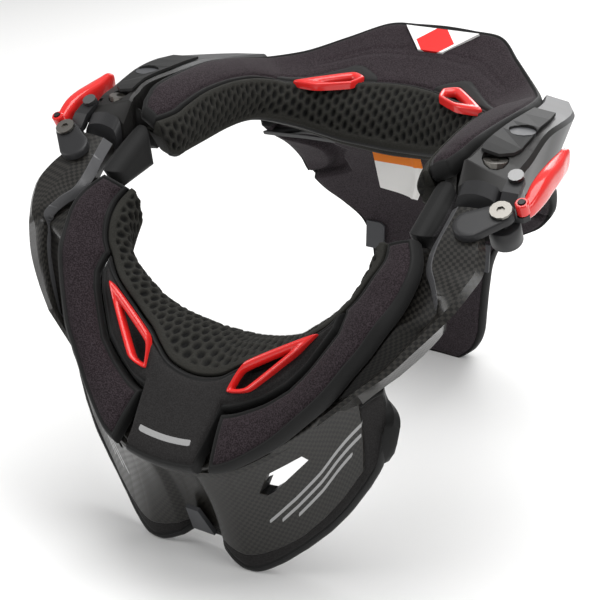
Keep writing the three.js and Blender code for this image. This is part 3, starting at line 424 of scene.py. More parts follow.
def colour_mix(tree, factor, first, second):
    """Mixed colour of two plain colours or sockets."""
    first, second = [colour if isinstance(colour, bpy.types.NodeSocket) else (*colour[:3], 1)
                     for colour in (first, second)]
    inputs = {0: factor, 6: first, 7: second}
    return node(tree, "ShaderNodeMix", inputs, data_type="RGBA").outputs[2]


def new_group(name, *outputs):
    """A shader node group from a position to some numbers; returns it, the position's socket
    inside it and its output node."""
    group = bpy.data.node_groups.new(name, "ShaderNodeTree")
    group.interface.new_socket("Position", in_out="INPUT", socket_type="NodeSocketVector")
    for output in outputs:
        group.interface.new_socket(output, in_out="OUTPUT", socket_type="NodeSocketFloat")
    enter, leave = group.nodes.new("NodeGroupInput"), group.nodes.new("NodeGroupOutput")
    return group, enter.outputs["Position"], leave


def grouped(tree, group, position):
    """The outputs of a node group at a position."""
    return node(tree, "ShaderNodeGroup", {"Position": position}, node_tree=group).outputs


def grain_group():
    """Shared cloth grain: a value of flecks and a height of a fine knit, from a position."""
    group, position, leave = new_group("cloth_grain", "Flecks", "Knit")
    flecks = node(group, "ShaderNodeTexNoise", {"Vector": position, "Scale": 1500.0, "Detail": 2.0})
    knit = node(group, "ShaderNodeTexVoronoi", {"Vector": position, "Scale": 1100.0})
    group.links.new(flecks.outputs["Fac"], leave.inputs["Flecks"])
    group.links.new(knit.outputs["Distance"], leave.inputs["Knit"])
    return group


cloth_grain = grain_group()


def cloth_material(name, colour, fleck, roughness=0.9, rough_bound=0.62):
    """Heathered cloth, with a smooth darker edging where its edge attribute is under the binding's
    width or its trim over a half, and a grey bar where its mark is over a half."""
    material, tree, shader = new_material(name, colour, roughness)
    grain = grouped(tree, cloth_grain, object_spot(tree))
    is_marked = math(tree, "GREATER_THAN", point_value(tree, "mark"), 0.5)
    is_bound = math(tree, "MAXIMUM", math(tree, "LESS_THAN", point_value(tree, "edge"), BINDING),
                    math(tree, "GREATER_THAN", point_value(tree, "trim"), 0.5))
    spread = node(tree, "ShaderNodeMapRange", {"Value": grain["Flecks"], "From Min": 0.42,
                                               "From Max": 0.62}).outputs[0]
    heather = colour_mix(tree, spread, colour, fleck)
    plain = colour_mix(tree, is_bound, heather, BOUND_BLACK)
    rough = math(tree, "ADD", math(tree, "MULTIPLY", is_bound, rough_bound - roughness), roughness)
    lift = math(tree, "MULTIPLY", grain["Knit"], math(tree, "SUBTRACT", 1.0, is_bound))
    relief = node(tree, "ShaderNodeBump", {"Height": lift, "Strength": 0.25,
                                           "Distance": KNIT_DEPTH})
    plug(tree, shader, {
        "Base Color": colour_mix(tree, is_marked, plain, MARK_GREY), "Roughness": rough,
        "Normal": relief.outputs["Normal"], "Sheen Weight": 0.05, "Sheen Roughness": 0.4,
        "Specular IOR Level": 0.12})
    return material


front_plane = vent_plane(FRONT_VENT, UPWARDS)
neoprene = cloth_material("heathered_neoprene", (0.012, 0.0085, 0.010), (0.034, 0.026, 0.030))
stations = even_stations(FRONT_BAND, 0, PAD_STOP, PAD_SPACING, 0.6)
outer, mesh_line, _ = lines_at(FRONT_BAND, stations)
stop = 1 - np.interp(stations, PANEL_SHARE[:, 0], PANEL_SHARE[:, 1]) - GROOVE_SHARE
patch, share = across_band(outer, mesh_line, stop * 0, stop, 40)
crown = PAD_CROWN * np.sqrt(np.sin(np.pi * np.clip(share / stop[:, None], 0, 1)))
pit, _ = vent_pit(patch, front_plane)
for side, spots in (("left", patch), ("right", mirrored(patch))):
    pad = pillow(f"neoprene_pad_{side}", spots, PAD_THICK, relief=crown + pit)
    dress(pad, "brace", neoprene, "neoprene", f"front_pad_{side}")

# Centre panel. A smooth black foam panel fills the front of the collar between the two pads
# and the mesh roll; it is moulded in one piece and bound like the pads.
PANEL_FROM = 4.0
# the grey bar: metres below the outer edge, half its height and half its width
PANEL_BAR = (0.0135, 0.0016, 0.016)
MARK_RUN = 0.002

panel_cloth = cloth_material("black_panel", (0.013, 0.012, 0.012), (0.022, 0.021, 0.021), 0.72,
                             rough_bound=0.5)
stations = even_stations(FRONT_BAND, PANEL_FROM, 12, PAD_SPACING, 0.3)
outer, mesh_line, _ = whole_lines(FRONT_BAND, stations)
taken = there_and_back(np.interp(stations, PANEL_SHARE[:, 0], PANEL_SHARE[:, 1]))
start = np.where(taken > 0.9, 0, 1 - taken + GROOVE_SHARE)
patch, share = across_band(outer, mesh_line, start, np.full(len(start), 1 - GROOVE_SHARE), 44)
inside = (share - start[:, None]) / (1 - GROOVE_SHARE - start[:, None])
crown = PAD_CROWN * np.sqrt(np.sin(np.pi * np.clip(inside, 0, 1)))
pit, _ = vent_pit(patch, front_plane)
aside = np.abs(patch[..., 0] - HUB[0])
fall, half_tall, half_wide = PANEL_BAR
below = np.abs(arc_lengths(patch, 1) - fall)
mark = 0.5 + np.minimum(half_tall - below, half_wide - aside) / MARK_RUN
panel = pillow("center_panel_foam", patch, PAD_THICK, relief=crown + pit, values={"mark": mark})
dress(panel, "brace", panel_cloth, "panel", "front_center_panel")

# Front mesh roll. Spacer mesh over soft foam rolls from the pads' inner edge down into the neck
# opening; its face is knitted with staggered upright holes, and its lower edge is piped.
LIP = 0.017
LIP_BULGE = 0.0015
FRONT_BULGE = 0.005
FULL_BULGE_WIDTH = 0.040
HEM = 0.004
ROLL_PIT = 0.010
ROLL_WALL = 0.009
HOLE_PITCH = np.array([0.0044, 0.0078])
HOLE_RADII = np.array([0.0016, 0.0031])
HOLE_DEPTH = 0.0016
ROLL_SPACING = 0.00085
PIPING = 0.0024


def profile_curve(controls, counts):
    """Rings through control lines: Catmull-Rom from line to line, counts points in each span."""
    table = np.stack(controls, 1)
    n = table.shape[1]
    pieces = []
    for k, count in enumerate(counts):
        a, b = table[:, k], table[:, (k + 1) % n]
        before, after = table[:, (k - 1) % n], table[:, (k + 2) % n]
        t = (np.arange(count) / count)[None, :, None]
        pieces.append(hermite(a[:, None], b[:, None], ((b - before) / 2)[:, None],
                              ((after - a) / 2)[:, None], t))
    return np.concatenate(pieces, 1)


def ring_piece(name, rings, values=None, crease=None):
    """Closed skin over rings of points, with a fan over each end."""
    rows, columns = rings.shape[:2]
    faces = grid_quads(rows, columns, True)
    closed = np.concatenate([rings, rings[:, :1]], 1)
    uv = np.stack([arc_lengths(closed, 0), arc_lengths(closed, 1)], -1).reshape(-1, 2)
    uv = uv[grid_quads(rows, columns + 1).reshape(-1)]
    middle = np.stack([rings[0].mean(0), rings[-1].mean(0)])
    j = np.arange(columns)
    k = (j + 1) % columns
    end = (rows - 1) * columns
    size = rows * columns
    fans = np.concatenate([np.stack([j, k, np.full(columns, size)], -1),
                           np.stack([end + k, end + j, np.full(columns, size + 1)], -1)])
    points = np.concatenate([rings.reshape(-1, 3), middle])
    values = {key: np.concatenate([value.reshape(-1), [0, 0]])
              for key, value in (values or {}).items()}
    uv = np.concatenate([uv, np.zeros((fans.size, 2))])
    return mesh_piece(name, points, faces.tolist() + fans.tolist(), uv, values, crease)


def knit_holes(rings, span, facing_out, inset):
    """Dips the rings over a span of columns in staggered upright ovals, inwards along the normal
    and clear of a hem on both sides. With r the share of an oval's radius, the depth is
    1.6 (1 - r) + 0.3, kept from 0 to 1. Returns the rings and each point's depth."""
    along, across = arc_lengths(rings, 0), arc_lengths(rings[:, span], 1)
    first, last, _ = span.indices(rings.shape[1])
    u = along[:, [(first + last) // 2]] / HOLE_PITCH[0]
    column = np.round(u)
    v = (across - inset) / HOLE_PITCH[1] + 0.5 * (column % 2)
    du = (u - column) * HOLE_PITCH[0] / HOLE_RADII[0]
    dv = (v - np.round(v)) * HOLE_PITCH[1] / HOLE_RADII[1]
    width = across[:, -1:]
    clear = np.clip(np.minimum(across - inset, width - inset - across) / 0.0015, 0, 1)
    hole = np.clip(1.6 * (1 - np.sqrt(du ** 2 + dv ** 2)) + 0.3, 0, 1) * clear
    normals = patch_normals(rings[:, span], facing_out)
    out = rings.copy()
    out[:, span] = rings[:, span] - normals * (hole * HOLE_DEPTH)[..., None]
    # The depth also masks the painted shade, near black, in the holes.
    depth = np.zeros(rings.shape[:2])
    depth[:, span] = hole
    return out, depth


def mesh_material():
    """Black-olive matt spacer mesh, with painted shade: near black in its holes, by the hole
    attribute.
    """
    material, tree, shader = new_material("spacer_mesh", (0.02, 0.02, 0.017), 0.75)
    grain = grouped(tree, cloth_grain, object_spot(tree))
    lit = colour_mix(tree, grain["Flecks"], (0.008, 0.008, 0.0068), (0.030, 0.029, 0.025))
    bump = node(tree, "ShaderNodeBump", {"Height": grain["Knit"], "Strength": 0.35,
                                         "Distance": KNIT_DEPTH})
    # Painted shade: the holes are mixed to near black.
    plug(tree, shader, {
        "Base Color": colour_mix(tree, point_value(tree, "hole"), lit, (0.002, 0.002, 0.002)),
        "Normal": bump.outputs["Normal"], "Specular IOR Level": 0.14})
    return material


def turns(sides):
    """Angles all the way round, in even steps."""
    return np.linspace(0, 2 * np.pi, sides, endpoint=False)


def end_swell(count, span, least):
    """Sizes of a row of rings: a quarter circle over a span of rings at each end, then one."""
    ends = np.minimum(np.arange(count), np.arange(count)[::-1])[:, None, None]
    return quarter_round(np.clip(ends / span, least, 1))


def tube(name, path, radius=PIPING, sides=14):
    """A round cord along a path, with rounded ends: path + radius (side cos a + over sin a)."""
    tangents = unit(np.gradient(path, axis=0))
    side = unit(np.cross(tangents, UPWARDS))
    over = np.cross(side, tangents)
    turn = turns(sides)[None, :, None]
    round_it = side[:, None] * np.cos(turn) + over[:, None] * np.sin(turn)
    return ring_piece(name, path[:, None] + radius * end_swell(len(path), 3, 0.02) * round_it)


spacer_mesh = mesh_material()
stations = even_stations([row[6:] for row in FRONT_BAND], 0, 12, ROLL_SPACING)
outer, mesh_line, neck_line = whole_lines(FRONT_BAND, stations)
across = unit(neck_line - mesh_line)
pad_normal = strip_normals(outer, mesh_line)
face_normal = strip_normals(mesh_line, neck_line)
width = np.linalg.norm(neck_line - mesh_line, axis=1)[:, None]
bulge = FRONT_BULGE * (0.5 + 0.5 * np.minimum(1, width / FULL_BULGE_WIDTH))
lip = neck_line - UPWARDS * LIP
outwards = mesh_line - neck_line
outwards[:, 2] = 0
outwards = unit(outwards)
inwards = unit(mesh_line - outer)
under = mesh_line - pad_normal * (PAD_THICK + SEAT)
controls = [
    mesh_line + across * SEAT,
    mixed(mesh_line, neck_line, 0.3) + face_normal * bulge * 0.8,
    mixed(mesh_line, neck_line, 0.65) + face_normal * bulge,
    neck_line + face_normal * bulge * 0.3,
    mixed(neck_line, lip, 0.5) - outwards * LIP_BULGE,
    lip,
    lip + outwards * ROLL_WALL,
    under - inwards * 0.002,
    under + across * SEAT,
]
rings = profile_curve(controls, [14, 14, 14, 10, 10, 4, 4, 3, 3])
rings, hole = knit_holes(rings, slice(0, 62), UPWARDS, HEM)
sink, near = vent_pit(rings, front_plane, ROLL_PIT)
rings[:, :50] += (face_normal[:, None] * sink[..., None])[:, :50]
# The roll is painted near black in its knit holes and inside the front vent's outline: painted
# shade.
roll = ring_piece("front_roll_mesh", rings, {"hole": np.maximum(hole, (near < 0.0005) * 1.0)})
dress(roll, "brace", spacer_mesh, "mesh", "front_mesh_roll")
piping_cloth = new_material("black_piping", BOUND_BLACK, 0.5)[0]
cord_path = lip[::3] + UPWARDS * 0.001 + outwards[::3] * 0.003
dress(tube("front_roll_piping", cord_path), "brace", piping_cloth, "mesh")

# Rear deck pad. One neoprene pad runs from shoulder to shoulder round the back of the neck; it
# is crowned beside the neck and dished on the deck, and bound in black like the front pads.
REAR_BAND = [
    # outer x, y, z, inner x, y, z, roll's lower edge x, y, z
    [0.955, -0.085, -0.012, 0.855, -0.100, -0.040, 0.820, -0.030, -0.140],
    [1.005, 0.005, 0.012, 0.815, 0.015, -0.032, 0.800, 0.020, -0.155],
    [1.035, 0.070, 0.032, 0.812, 0.070, -0.020, 0.800, 0.060, -0.152],
    [1.050, 0.200, 0.038, 0.810, 0.170, -0.003, 0.800, 0.160, -0.146],
    [1.056, 0.350, 0.036, 0.795, 0.290, 0.000, 0.800, 0.280, -0.140],
    [1.020, 0.480, 0.022, 0.775, 0.400, -0.012, 0.785, 0.375, -0.140],
    [0.965, 0.580, 0.010, 0.735, 0.480, -0.030, 0.745, 0.430, -0.145],
    [0.915, 0.650, 0.005, 0.675, 0.530, -0.047, 0.670, 0.475, -0.158],
    [0.785, 0.755, 0.012, 0.580, 0.575, -0.050, 0.570, 0.512, -0.175],
    [0.600, 0.862, 0.045, 0.450, 0.610, -0.050, 0.440, 0.530, -0.190],
    [0.403, 0.970, 0.080, 0.310, 0.640, -0.048, 0.310, 0.545, -0.205],
    [0.200, 0.982, 0.087, 0.155, 0.668, -0.046, 0.155, 0.557, -0.212],
    [0.000, 0.987, 0.090, 0.000, 0.680, -0.045, 0.000, 0.560, -0.215],
]
REAR_VENT = [[0.670, 0.532, -0.048], [0.367, 0.698, -0.036], [0.270, 0.672, -0.041],
             [0.300, 0.605, -0.048], [0.480, 0.540, -0.051]]
DECK_DISH = 0.003
TRIM_WIDTH = 0.0075
CHANNEL_SHARES = (0.42, 0.50)
CHANNEL_DEPTH = 0.0009
CHANNEL_RUN = 0.022
STITCH_DEPTH = 0.0007

rear_plane = vent_plane(REAR_VENT, UPWARDS)
stations = even_stations(REAR_BAND, 0, 12, 0.0014)
outer, mesh_line, _ = whole_lines(REAR_BAND, stations)
both_stations = there_and_back(stations)
patch, share = across_band(outer, mesh_line, np.zeros(len(outer)), np.ones(len(outer)), 58)
dish = ramp(both_stations, 5, 3)[:, None]
crown = (PAD_CROWN - dish * (PAD_CROWN + DECK_DISH)) * np.sqrt(np.sin(np.pi * np.clip(share, 0, 1)))
pit, near = vent_pit(patch, rear_plane)
channel = sum(np.exp(-((share - at_share) / CHANNEL_RUN) ** 2) for at_share in CHANNEL_SHARES)
channel = channel * ramp(both_stations, 8.2, 0.4)[:, None]
stitched = STITCH_DEPTH * np.exp(-((near - TRIM_WIDTH) / SEAM_RUN) ** 2)
deck = pillow("deck_pad_neoprene", patch, PAD_THICK,
              relief=crown + pit - channel * CHANNEL_DEPTH - stitched,
              values={"trim": 0.5 + (TRIM_WIDTH - near) / 0.004})
dress(deck, "brace", neoprene, "neoprene", "rear_deck_pad")

# Rear mesh roll. The same spacer mesh stands like a wall under the deck pad's inner edge and
# swells towards the neck, with a piped lower edge.
REAR_BULGE = 0.005

stations = even_stations([row[3:6] for row in REAR_BAND], 0, 12, ROLL_SPACING)
outer, mesh_line, low_line = whole_lines(REAR_BAND, stations)
pad_normal = strip_normals(outer, mesh_line)
face = unit(np.cross(unit(low_line - mesh_line), np.gradient(mesh_line, axis=0)))
middle_spot = np.array([HUB[0], HUB[1] + 0.02, 0])
inside = ((middle_spot - mesh_line)[:, :2] * face[:, :2]).sum(1, keepdims=True) > 0
face = np.where(inside, face, -face)
inwards = unit(mesh_line - outer)
under = mesh_line - pad_normal * (PAD_THICK + SEAT)
controls = [
    mesh_line + inwards * SEAT,
    mixed(mesh_line, low_line, 0.25) + face * REAR_BULGE * 0.8,
    mixed(mesh_line, low_line, 0.55) + face * REAR_BULGE,
    mixed(mesh_line, low_line, 0.85) + face * REAR_BULGE * 0.5,
    low_line,
    low_line - face * ROLL_WALL,
    under - inwards * 0.005,
    under + inwards * SEAT,
]
rings = profile_curve(controls, [10, 10, 10, 8, 4, 4, 3, 3])
rings, hole = knit_holes(rings, slice(0, 38), np.array([0, -1.0, 0.3]), 0.003)
# Its knit holes are painted near black: painted shade.
roll = ring_piece("rear_roll_mesh", rings, {"hole": hole})
dress(roll, "brace", spacer_mesh, "mesh", "rear_mesh_roll")
cord_path = low_line[::3] - face[::3] * 0.003 + UPWARDS * 0.0008
dress(tube("rear_roll_piping", cord_path), "brace", piping_cloth, "mesh")

# Front frame. A carbon frame runs outside the front pads: bevelled struts with a thin web under
# the pads, laid up in plain weave and lacquered half gloss. Each end has the latch's pocket.
STRUT = [
    # outer x, y, z, inner x, y, z
    [1.280, -0.262, -0.092, 1.065, -0.258, -0.092],
    [1.290, -0.350, -0.122, 1.060, -0.350, -0.124],
    [1.345, -0.460, -0.158, 1.050, -0.460, -0.165],
    [1.372, -0.545, -0.192, 1.065, -0.545, -0.200],
    [1.350, -0.630, -0.225, 1.120, -0.615, -0.222],
    [1.310, -0.710, -0.265, 1.175, -0.680, -0.257],
    [1.260, -0.780, -0.300, 1.175, -0.660, -0.300],
    [1.180, -0.865, -0.350, 1.130, -0.740, -0.342],
    [1.080, -0.935, -0.410, 1.030, -0.850, -0.405],
    [0.955, -1.010, -0.464, 0.905, -0.955, -0.476],
]
STRUT_LEAD = 2
STRUT_LAST = 9
STRUT_UNDER = 0.00415
TAIL_FROM = 7.2
TAIL_JOIN = 7.99
WEB_SHARE = 0.78
FRONT_POCKET = (-0.0052, -0.006, -0.0104, 0.014, 0.020, 0.010)
STRUT_DEPTH = 0.009
WEB_THICK = 0.004
WEB_GAP = 0.00175
TOWS = 520.0


def weave_group():
    """Plain weave from a position in metres: a mask of the warp tows that lie on top.
    Cells are floor(x tows) and floor(y tows); the mask is on where their sum is even."""
    group, position, leave = new_group("carbon_weave", "Warp")
    parts = node(group, "ShaderNodeSeparateXYZ", {0: position})
    x = math(group, "FLOOR", math(group, "MULTIPLY", parts.outputs[0], TOWS))
    y = math(group, "FLOOR", math(group, "MULTIPLY", parts.outputs[1], TOWS))
    turn = math(group, "FLOORED_MODULO", math(group, "ADD", x, y), 2.0)
    group.links.new(math(group, "LESS_THAN", turn, 1.0), leave.inputs["Warp"])
    return group


def carbon_material():
    """Lacquered carbon: two near-black tows that catch the light differently, a painted highlight
    of pale grey where the bevel attribute is one, and grey bars where the mark is over a half."""
    material, tree, shader = new_material("lacquered_carbon", (0.022, 0.021, 0.020), 0.34)
    spot = node(tree, "ShaderNodeUVMap", uv_map="cloth").outputs[0]
    warp = grouped(tree, carbon_weave, spot)["Warp"]
    painted_bevel_highlight = math(tree, "GREATER_THAN", point_value(tree, "bevel"), 0.95)
    is_marked = math(tree, "GREATER_THAN", point_value(tree, "mark"), 0.5)
    woven = colour_mix(tree, warp, (0.007, 0.0066, 0.006), (0.020, 0.0185, 0.016))
    # Painted highlight: pale grey on the bevel faces.
    with_bevel_highlight = colour_mix(tree, painted_bevel_highlight, woven, (0.075, 0.075, 0.078))
    plug(tree, shader, {
        "Base Color": colour_mix(tree, is_marked, with_bevel_highlight, MARK_GREY),
        "Roughness": math(tree, "ADD", math(tree, "MULTIPLY", warp, 0.12), 0.30),
        "Coat Weight": 0.25, "Coat Roughness": 0.2})
    return material


def hull_of(points):
    """A closed convex body round some points, to cut with."""
    mesh = bpy.data.meshes.new("cutter")
    mesh.from_pydata(np.asarray(points).tolist(), [], [])
    work = bmesh.new()
    work.from_mesh(mesh)
    bmesh.ops.convex_hull(work, input=work.verts)
    bmesh.ops.recalc_face_normals(work, faces=work.faces)
    work.to_mesh(mesh)
    work.free()
    return linked("cutter", mesh)


def carved(piece, cutters, own_folds=False):
    """The piece with the cutters taken out of it; the cutters are removed. own_folds is for a
    piece whose own faces cross."""
    for cutter in cutters:
        step = piece.modifiers.new("cut", "BOOLEAN")
        step.operation = "DIFFERENCE"
        step.solver = "EXACT"
        step.use_self = own_folds
        step.object = cutter
    bpy.context.view_layer.update()
    shape = bpy.data.meshes.new_from_object(
        piece.evaluated_get(bpy.context.evaluated_depsgraph_get()))
    piece.modifiers.clear()
    piece.data = shape
    shape.set_sharp_from_angle(angle=np.radians(32))
    for cutter in cutters:
        bpy.data.objects.remove(cutter)
    return piece


def softened(piece, width):
    """Rounds the sharp edges of a hard piece with a bevel."""
    bevel = piece.modifiers.new("edges", "BEVEL")
    bevel.width = width
    bevel.segments = 2
    bevel.limit_method = "ANGLE"
    bevel.angle_limit = np.radians(38)
    return piece


def cad_points(name):
    """The corners of a node of the part, one row each."""
    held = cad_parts[name].data.vertices
    points = np.zeros(len(held) * 3)
    held.foreach_get("co", points)
    return points.reshape(-1, 3)


LATCH = place([1.348, -0.314, -0.0635])
EX = np.array([1.0, 0, 0])
EY = unit(np.array([0, 0.866, 0.5]))
EZ = unit(np.array([0, -0.5, 0.866]))
CLEAR = 0.0005


def on_latch(x, y, z):
    """A point in the latch's own axes, in metres; arrays may be given."""
    return LATCH + np.multiply.outer(x, EX) + np.multiply.outer(y, EY) + np.multiply.outer(z, EZ)


def latch_cutters(boxes, rooms=()):
    """Cutters for both sides: room for the cap, the housing and more CAD nodes, each grown by the
    clearance and lifted out along its axis, and boxes from low x, y, z to high x, y, z in the
    latch's axes."""
    bodies = []
    for name, axis, lift in (("latch_plate_left", EZ, 0.012), ("latch_housing_left", EZ, 0.006),
                             *rooms):
        points = cad_points(name)
        across = points - points.mean(0)
        across -= np.outer(across @ axis, axis)
        grown = points + unit(across) * CLEAR
        bodies.append(np.vstack([grown - axis * CLEAR, grown + axis * lift]))
    for x0, y0, z0, x1, y1, z1 in boxes:
        x, y, z = [g.reshape(-1) for g in np.meshgrid([x0, x1], [y0, y1], [z0, z1])]
        bodies.append(on_latch(x, y, z))
    return [hull_of(side) for body in bodies for side in (body, mirrored(body))]


carbon_weave = weave_group()
carbon = carbon_material()
outer, inner = lines_at(STRUT, np.linspace(0, STRUT_LAST, 150), False)
pad_stations = np.linspace(TAIL_FROM, 12, 60)
pad_outer, pad_inner, _ = lines_at(FRONT_BAND, pad_stations)
pad_normal = strip_normals(pad_outer, pad_inner)
inwards = unit(pad_inner - pad_outer)
below = pad_outer - pad_normal * (PAD_THICK + STRUT_UNDER)
tail = pad_stations > TAIL_JOIN
outer = whole(np.concatenate([outer, (below + inwards * 0.0005)[tail]]))
inner = whole(np.concatenate([inner, (below + inwards * 0.008)[tail]]))
along = unit(np.gradient(outer, axis=0))
across = unit(outer - inner)
normal = unit(np.cross(across, along))
normal = np.where(normal[:, 2:] > 0, normal, -normal)
width = np.linalg.norm(outer - inner, axis=1)[:, None]
bevel = np.minimum(0.004, width * 0.28)
rise = np.minimum(0.0032, width * 0.25)
corners = [
    outer,
    outer - across * bevel * 0.8 + normal * rise,
    mixed(outer, inner, 0.5) + normal * rise * 0.85,
    inner + across * bevel + normal * rise * 0.4,
    inner - normal * rise,
    inner + across * 0.001 - normal * np.minimum(STRUT_DEPTH, width * 0.9),
    outer - across * bevel - normal * rise * 0.8,
]
# The inner bevel faces are marked for the painted highlight of pale grey.
painted_bevel_highlight = np.tile([0.0, 0, 0, 1, 1, 0, 0], (len(outer), 1))
strut = ring_piece("front_strut_carbon", np.stack(corners, 1), {"bevel": painted_bevel_highlight}, crease=28)
strut = carved(strut, latch_cutters([FRONT_POCKET]), True)
softened(strut, 0.0005)
dress(strut, "brace", carbon, "carbon", "front_frame")
web_stations = np.linspace(0, 12, 120)
pad_outer, pad_inner, _ = lines_at(FRONT_BAND, web_stations)
strut_outer, strut_inner = lines_at(STRUT, np.clip(web_stations + STRUT_LEAD, 0, STRUT_LAST),
                                    False)
pad_normal = strip_normals(pad_outer, pad_inner)
inwards = unit(pad_inner - pad_outer)
corner = pad_outer - pad_normal * (PAD_THICK + WEB_GAP)
edge = mixed(strut_inner, strut_outer, 0.3) - pad_normal * STRUT_DEPTH * 0.55
edge = np.where(web_stations[:, None] < TAIL_FROM, edge, corner + inwards * 0.002)
web_top = [edge, corner + inwards * 0.0025,
           mixed(pad_outer, pad_inner, WEB_SHARE) - pad_normal * (PAD_THICK + WEB_GAP)]
web = [whole(line) for line in web_top + [line - pad_normal * WEB_THICK for line in web_top[::-1]]]
web_piece = ring_piece("front_web_carbon", np.stack(web, 1), crease=28)
dress(web_piece, "brace", carbon, "carbon")

# Rear frame. The rear arms carry the shelves beside the deck pad and run on as a shell under it;
# moulded in satin grey-black, with a painted highlight of paler grey towards the back, and the
# latch's pocket in each arm's end.
REAR_EDGE = [[1.330, -0.085, -0.035], [1.336, 0.010, -0.008], [1.336, 0.055, 0.002],
             [1.332, 0.170, 0.036], [1.340, 0.300, 0.040], [1.290, 0.420, 0.025],
             [1.200, 0.530, 0.012], [1.100, 0.630, 0.000], [0.900, 0.745, 0.000]]
ARM_END = [[1.310, -0.150, -0.050], [1.050, -0.150, -0.050]]
PAD_GAP = np.array([[0, 0.0095], [0.5, 0.008], [1, 0.0055], [3, 0.0025], [12, 0.0025]])
ARM_DEPTH = 0.024
DECK_SHELL = 0.010
WING_HIGHLIGHT_FROM = 0.040
WING_HIGHLIGHT_TO = 0.062
REAR_POCKETS = [(-0.0064, 0.010, -0.0080, 0.014, 0.030, 0.012),
                (-0.0060, 0.0194, -0.022, 0.014, 0.0282, 0.0)]
BUTTON_LIFT = 0.012

frame_satin, tree, shader = new_material("rear_frame_satin", (0.012, 0.012, 0.012), 0.40)
# The back of the frame is painted a paler grey: a painted highlight.
parts = node(tree, "ShaderNodeSeparateXYZ", {0: object_spot(tree)})
wing_highlight = node(tree, "ShaderNodeMapRange", {
    "Value": parts.outputs[1], "From Min": float(HUB[1] + WING_HIGHLIGHT_FROM),
    "From Max": float(HUB[1] + WING_HIGHLIGHT_TO)}).outputs[0]
plug(tree, shader, {
    "Base Color": colour_mix(tree, wing_highlight, (0.012, 0.0115, 0.011), (0.060, 0.060, 0.062))})
stations = np.linspace(0, 12, 200)
pad_outer, pad_inner, _ = lines_at(REAR_BAND, stations)
pad_normal = strip_normals(pad_outer, pad_inner)
inwards = unit(pad_inner - pad_outer)
shown = lines_at(REAR_EDGE, np.clip(stations, 0, 7), False)[0]
hidden = ramp(stations, 6.6, 0.6)[:, None]
hidden = hidden * hidden * (3 - 2 * hidden)
tuck = np.where((stations > 6.9) | (stations < 1.1), 0.0018, 0.0008)[:, None]
drop = PAD_THICK + SEAT + tuck
gap = np.interp(stations, PAD_GAP[:, 0], PAD_GAP[:, 1])[:, None]
outer = mixed(shown, pad_outer - pad_normal * (drop + 0.001) + inwards * 0.003, hidden)
inner = mixed(pad_outer - inwards * gap - pad_normal * 0.001,
              pad_outer - pad_normal * drop + inwards * 0.006, hidden)
web_out = mixed(pad_outer - pad_normal * drop + inwards * 0.001, inner + inwards * 0.002, hidden)
web_in = mixed(pad_outer, pad_inner, 0.5) - pad_normal * drop
open_arm = ramp(-stations, -1.0, 0.2)[:, None]
web_out = mixed(web_out, inner - UPWARDS * 0.008, open_arm)
web_in = mixed(web_in, inner - UPWARDS * 0.010, open_arm)
depth = mixed(ARM_DEPTH, DECK_SHELL, ramp(stations, 3, 4))[:, None]
low_share = 0.75 - 0.25 * open_arm
end_outer, end_inner = place(ARM_END)


def with_end(line, end):
    """A line of the arm led on to its end."""
    return whole(np.concatenate([mixed(end, line[0], np.linspace(0, 0.9, 8)[:, None]), line]))


corners = [
    with_end(outer - UPWARDS * 0.002, end_outer - UPWARDS * 0.002),
    *(with_end(mixed(outer, inner, across), mixed(end_outer, end_inner, across))
      for across in (0.08, 0.5, 0.93)),
    with_end(inner - UPWARDS * 0.0015, end_inner - UPWARDS * 0.0015),
    with_end(web_out, end_inner - UPWARDS * 0.008),
    with_end(web_in, end_inner - UPWARDS * 0.010),
    with_end(web_in - UPWARDS * depth * low_share, end_inner - UPWARDS * 0.022),
    *(with_end(mixed(web_in, outer, across) - UPWARDS * depth,
               mixed(end_inner - UPWARDS * 0.010, end_outer, across) - UPWARDS * 0.024)
      for across in (0.4, 0.85)),
]
arm = ring_piece("rear_frame_shell", np.stack(corners, 1), crease=30)
arm = carved(arm, latch_cutters(REAR_POCKETS, [
    (cad_name, UPWARDS, BUTTON_LIFT) for cad_name in ("arm_screw_left", "shelf_button_left")]))
softened(arm, 0.0006)
dress(arm, "brace", frame_satin, "carbon", "rear_frame")

# Chest plate. A bowed carbon plate with an open slot on each side hangs in front, over the chest
# pad; its face is half gloss and its edges are rounded.
CHEST = [
    # x, plate top y, z, plate bottom y, z, rim of the pad past the plate's lower edge
    [0.00, -1.205, -0.745, -0.945, -1.015, 0.08],
    [0.10, -1.205, -0.744, -0.950, -1.015, 0.08],
    [0.15, -1.240, -0.742, -1.000, -1.022, 0.10],
    [0.24, -1.225, -0.735, -1.025, -1.032, 0.12],
    [0.33, -1.195, -0.722, -1.025, -1.034, 0.13],
    [0.45, -1.150, -0.695, -0.985, -1.012, 0.12],
    [0.60, -1.100, -0.650, -0.925, -0.960, 0.10],
    [0.72, -1.040, -0.600, -0.885, -0.890, 0.11],
    [0.82, -0.980, -0.540, -0.860, -0.815, 0.12],
    [0.91, -0.910, -0.500, -0.825, -0.730, 0.13],
    [0.965, -0.865, -0.475, -0.800, -0.660, 0.13],
    [1.000, -0.840, -0.470, -0.810, -0.560, 0.08],
]
CHEST_HOLE = [[0.437, -0.805], [0.495, -0.735], [0.662, -0.672], [0.684, -0.687],
              [0.513, -0.795], [0.473, -0.812]]
CHEST_FACE = unit(np.array([0, -0.92, -0.39]))
RIM_DOWN = unit(np.array([0, -0.15, -0.99]))
CHEST_BOW = 0.003
TOP_SET = 0.018
PLATE_LAST = 0.91
PLATE_TOP_INSET = -0.009
PLATE_THICK = 0.003
CHEST_PAD_THICK = 0.008
BAR_SLANT = 0.6
BAR_HALF = 0.0012
PLATE_BARS = [
    # slanted grey bars: how far down the plate, and from and to, in metres from its middle
    (0.045, 0.046, 0.092), (0.051, 0.052, 0.090), (0.057, 0.060, 0.086),
]


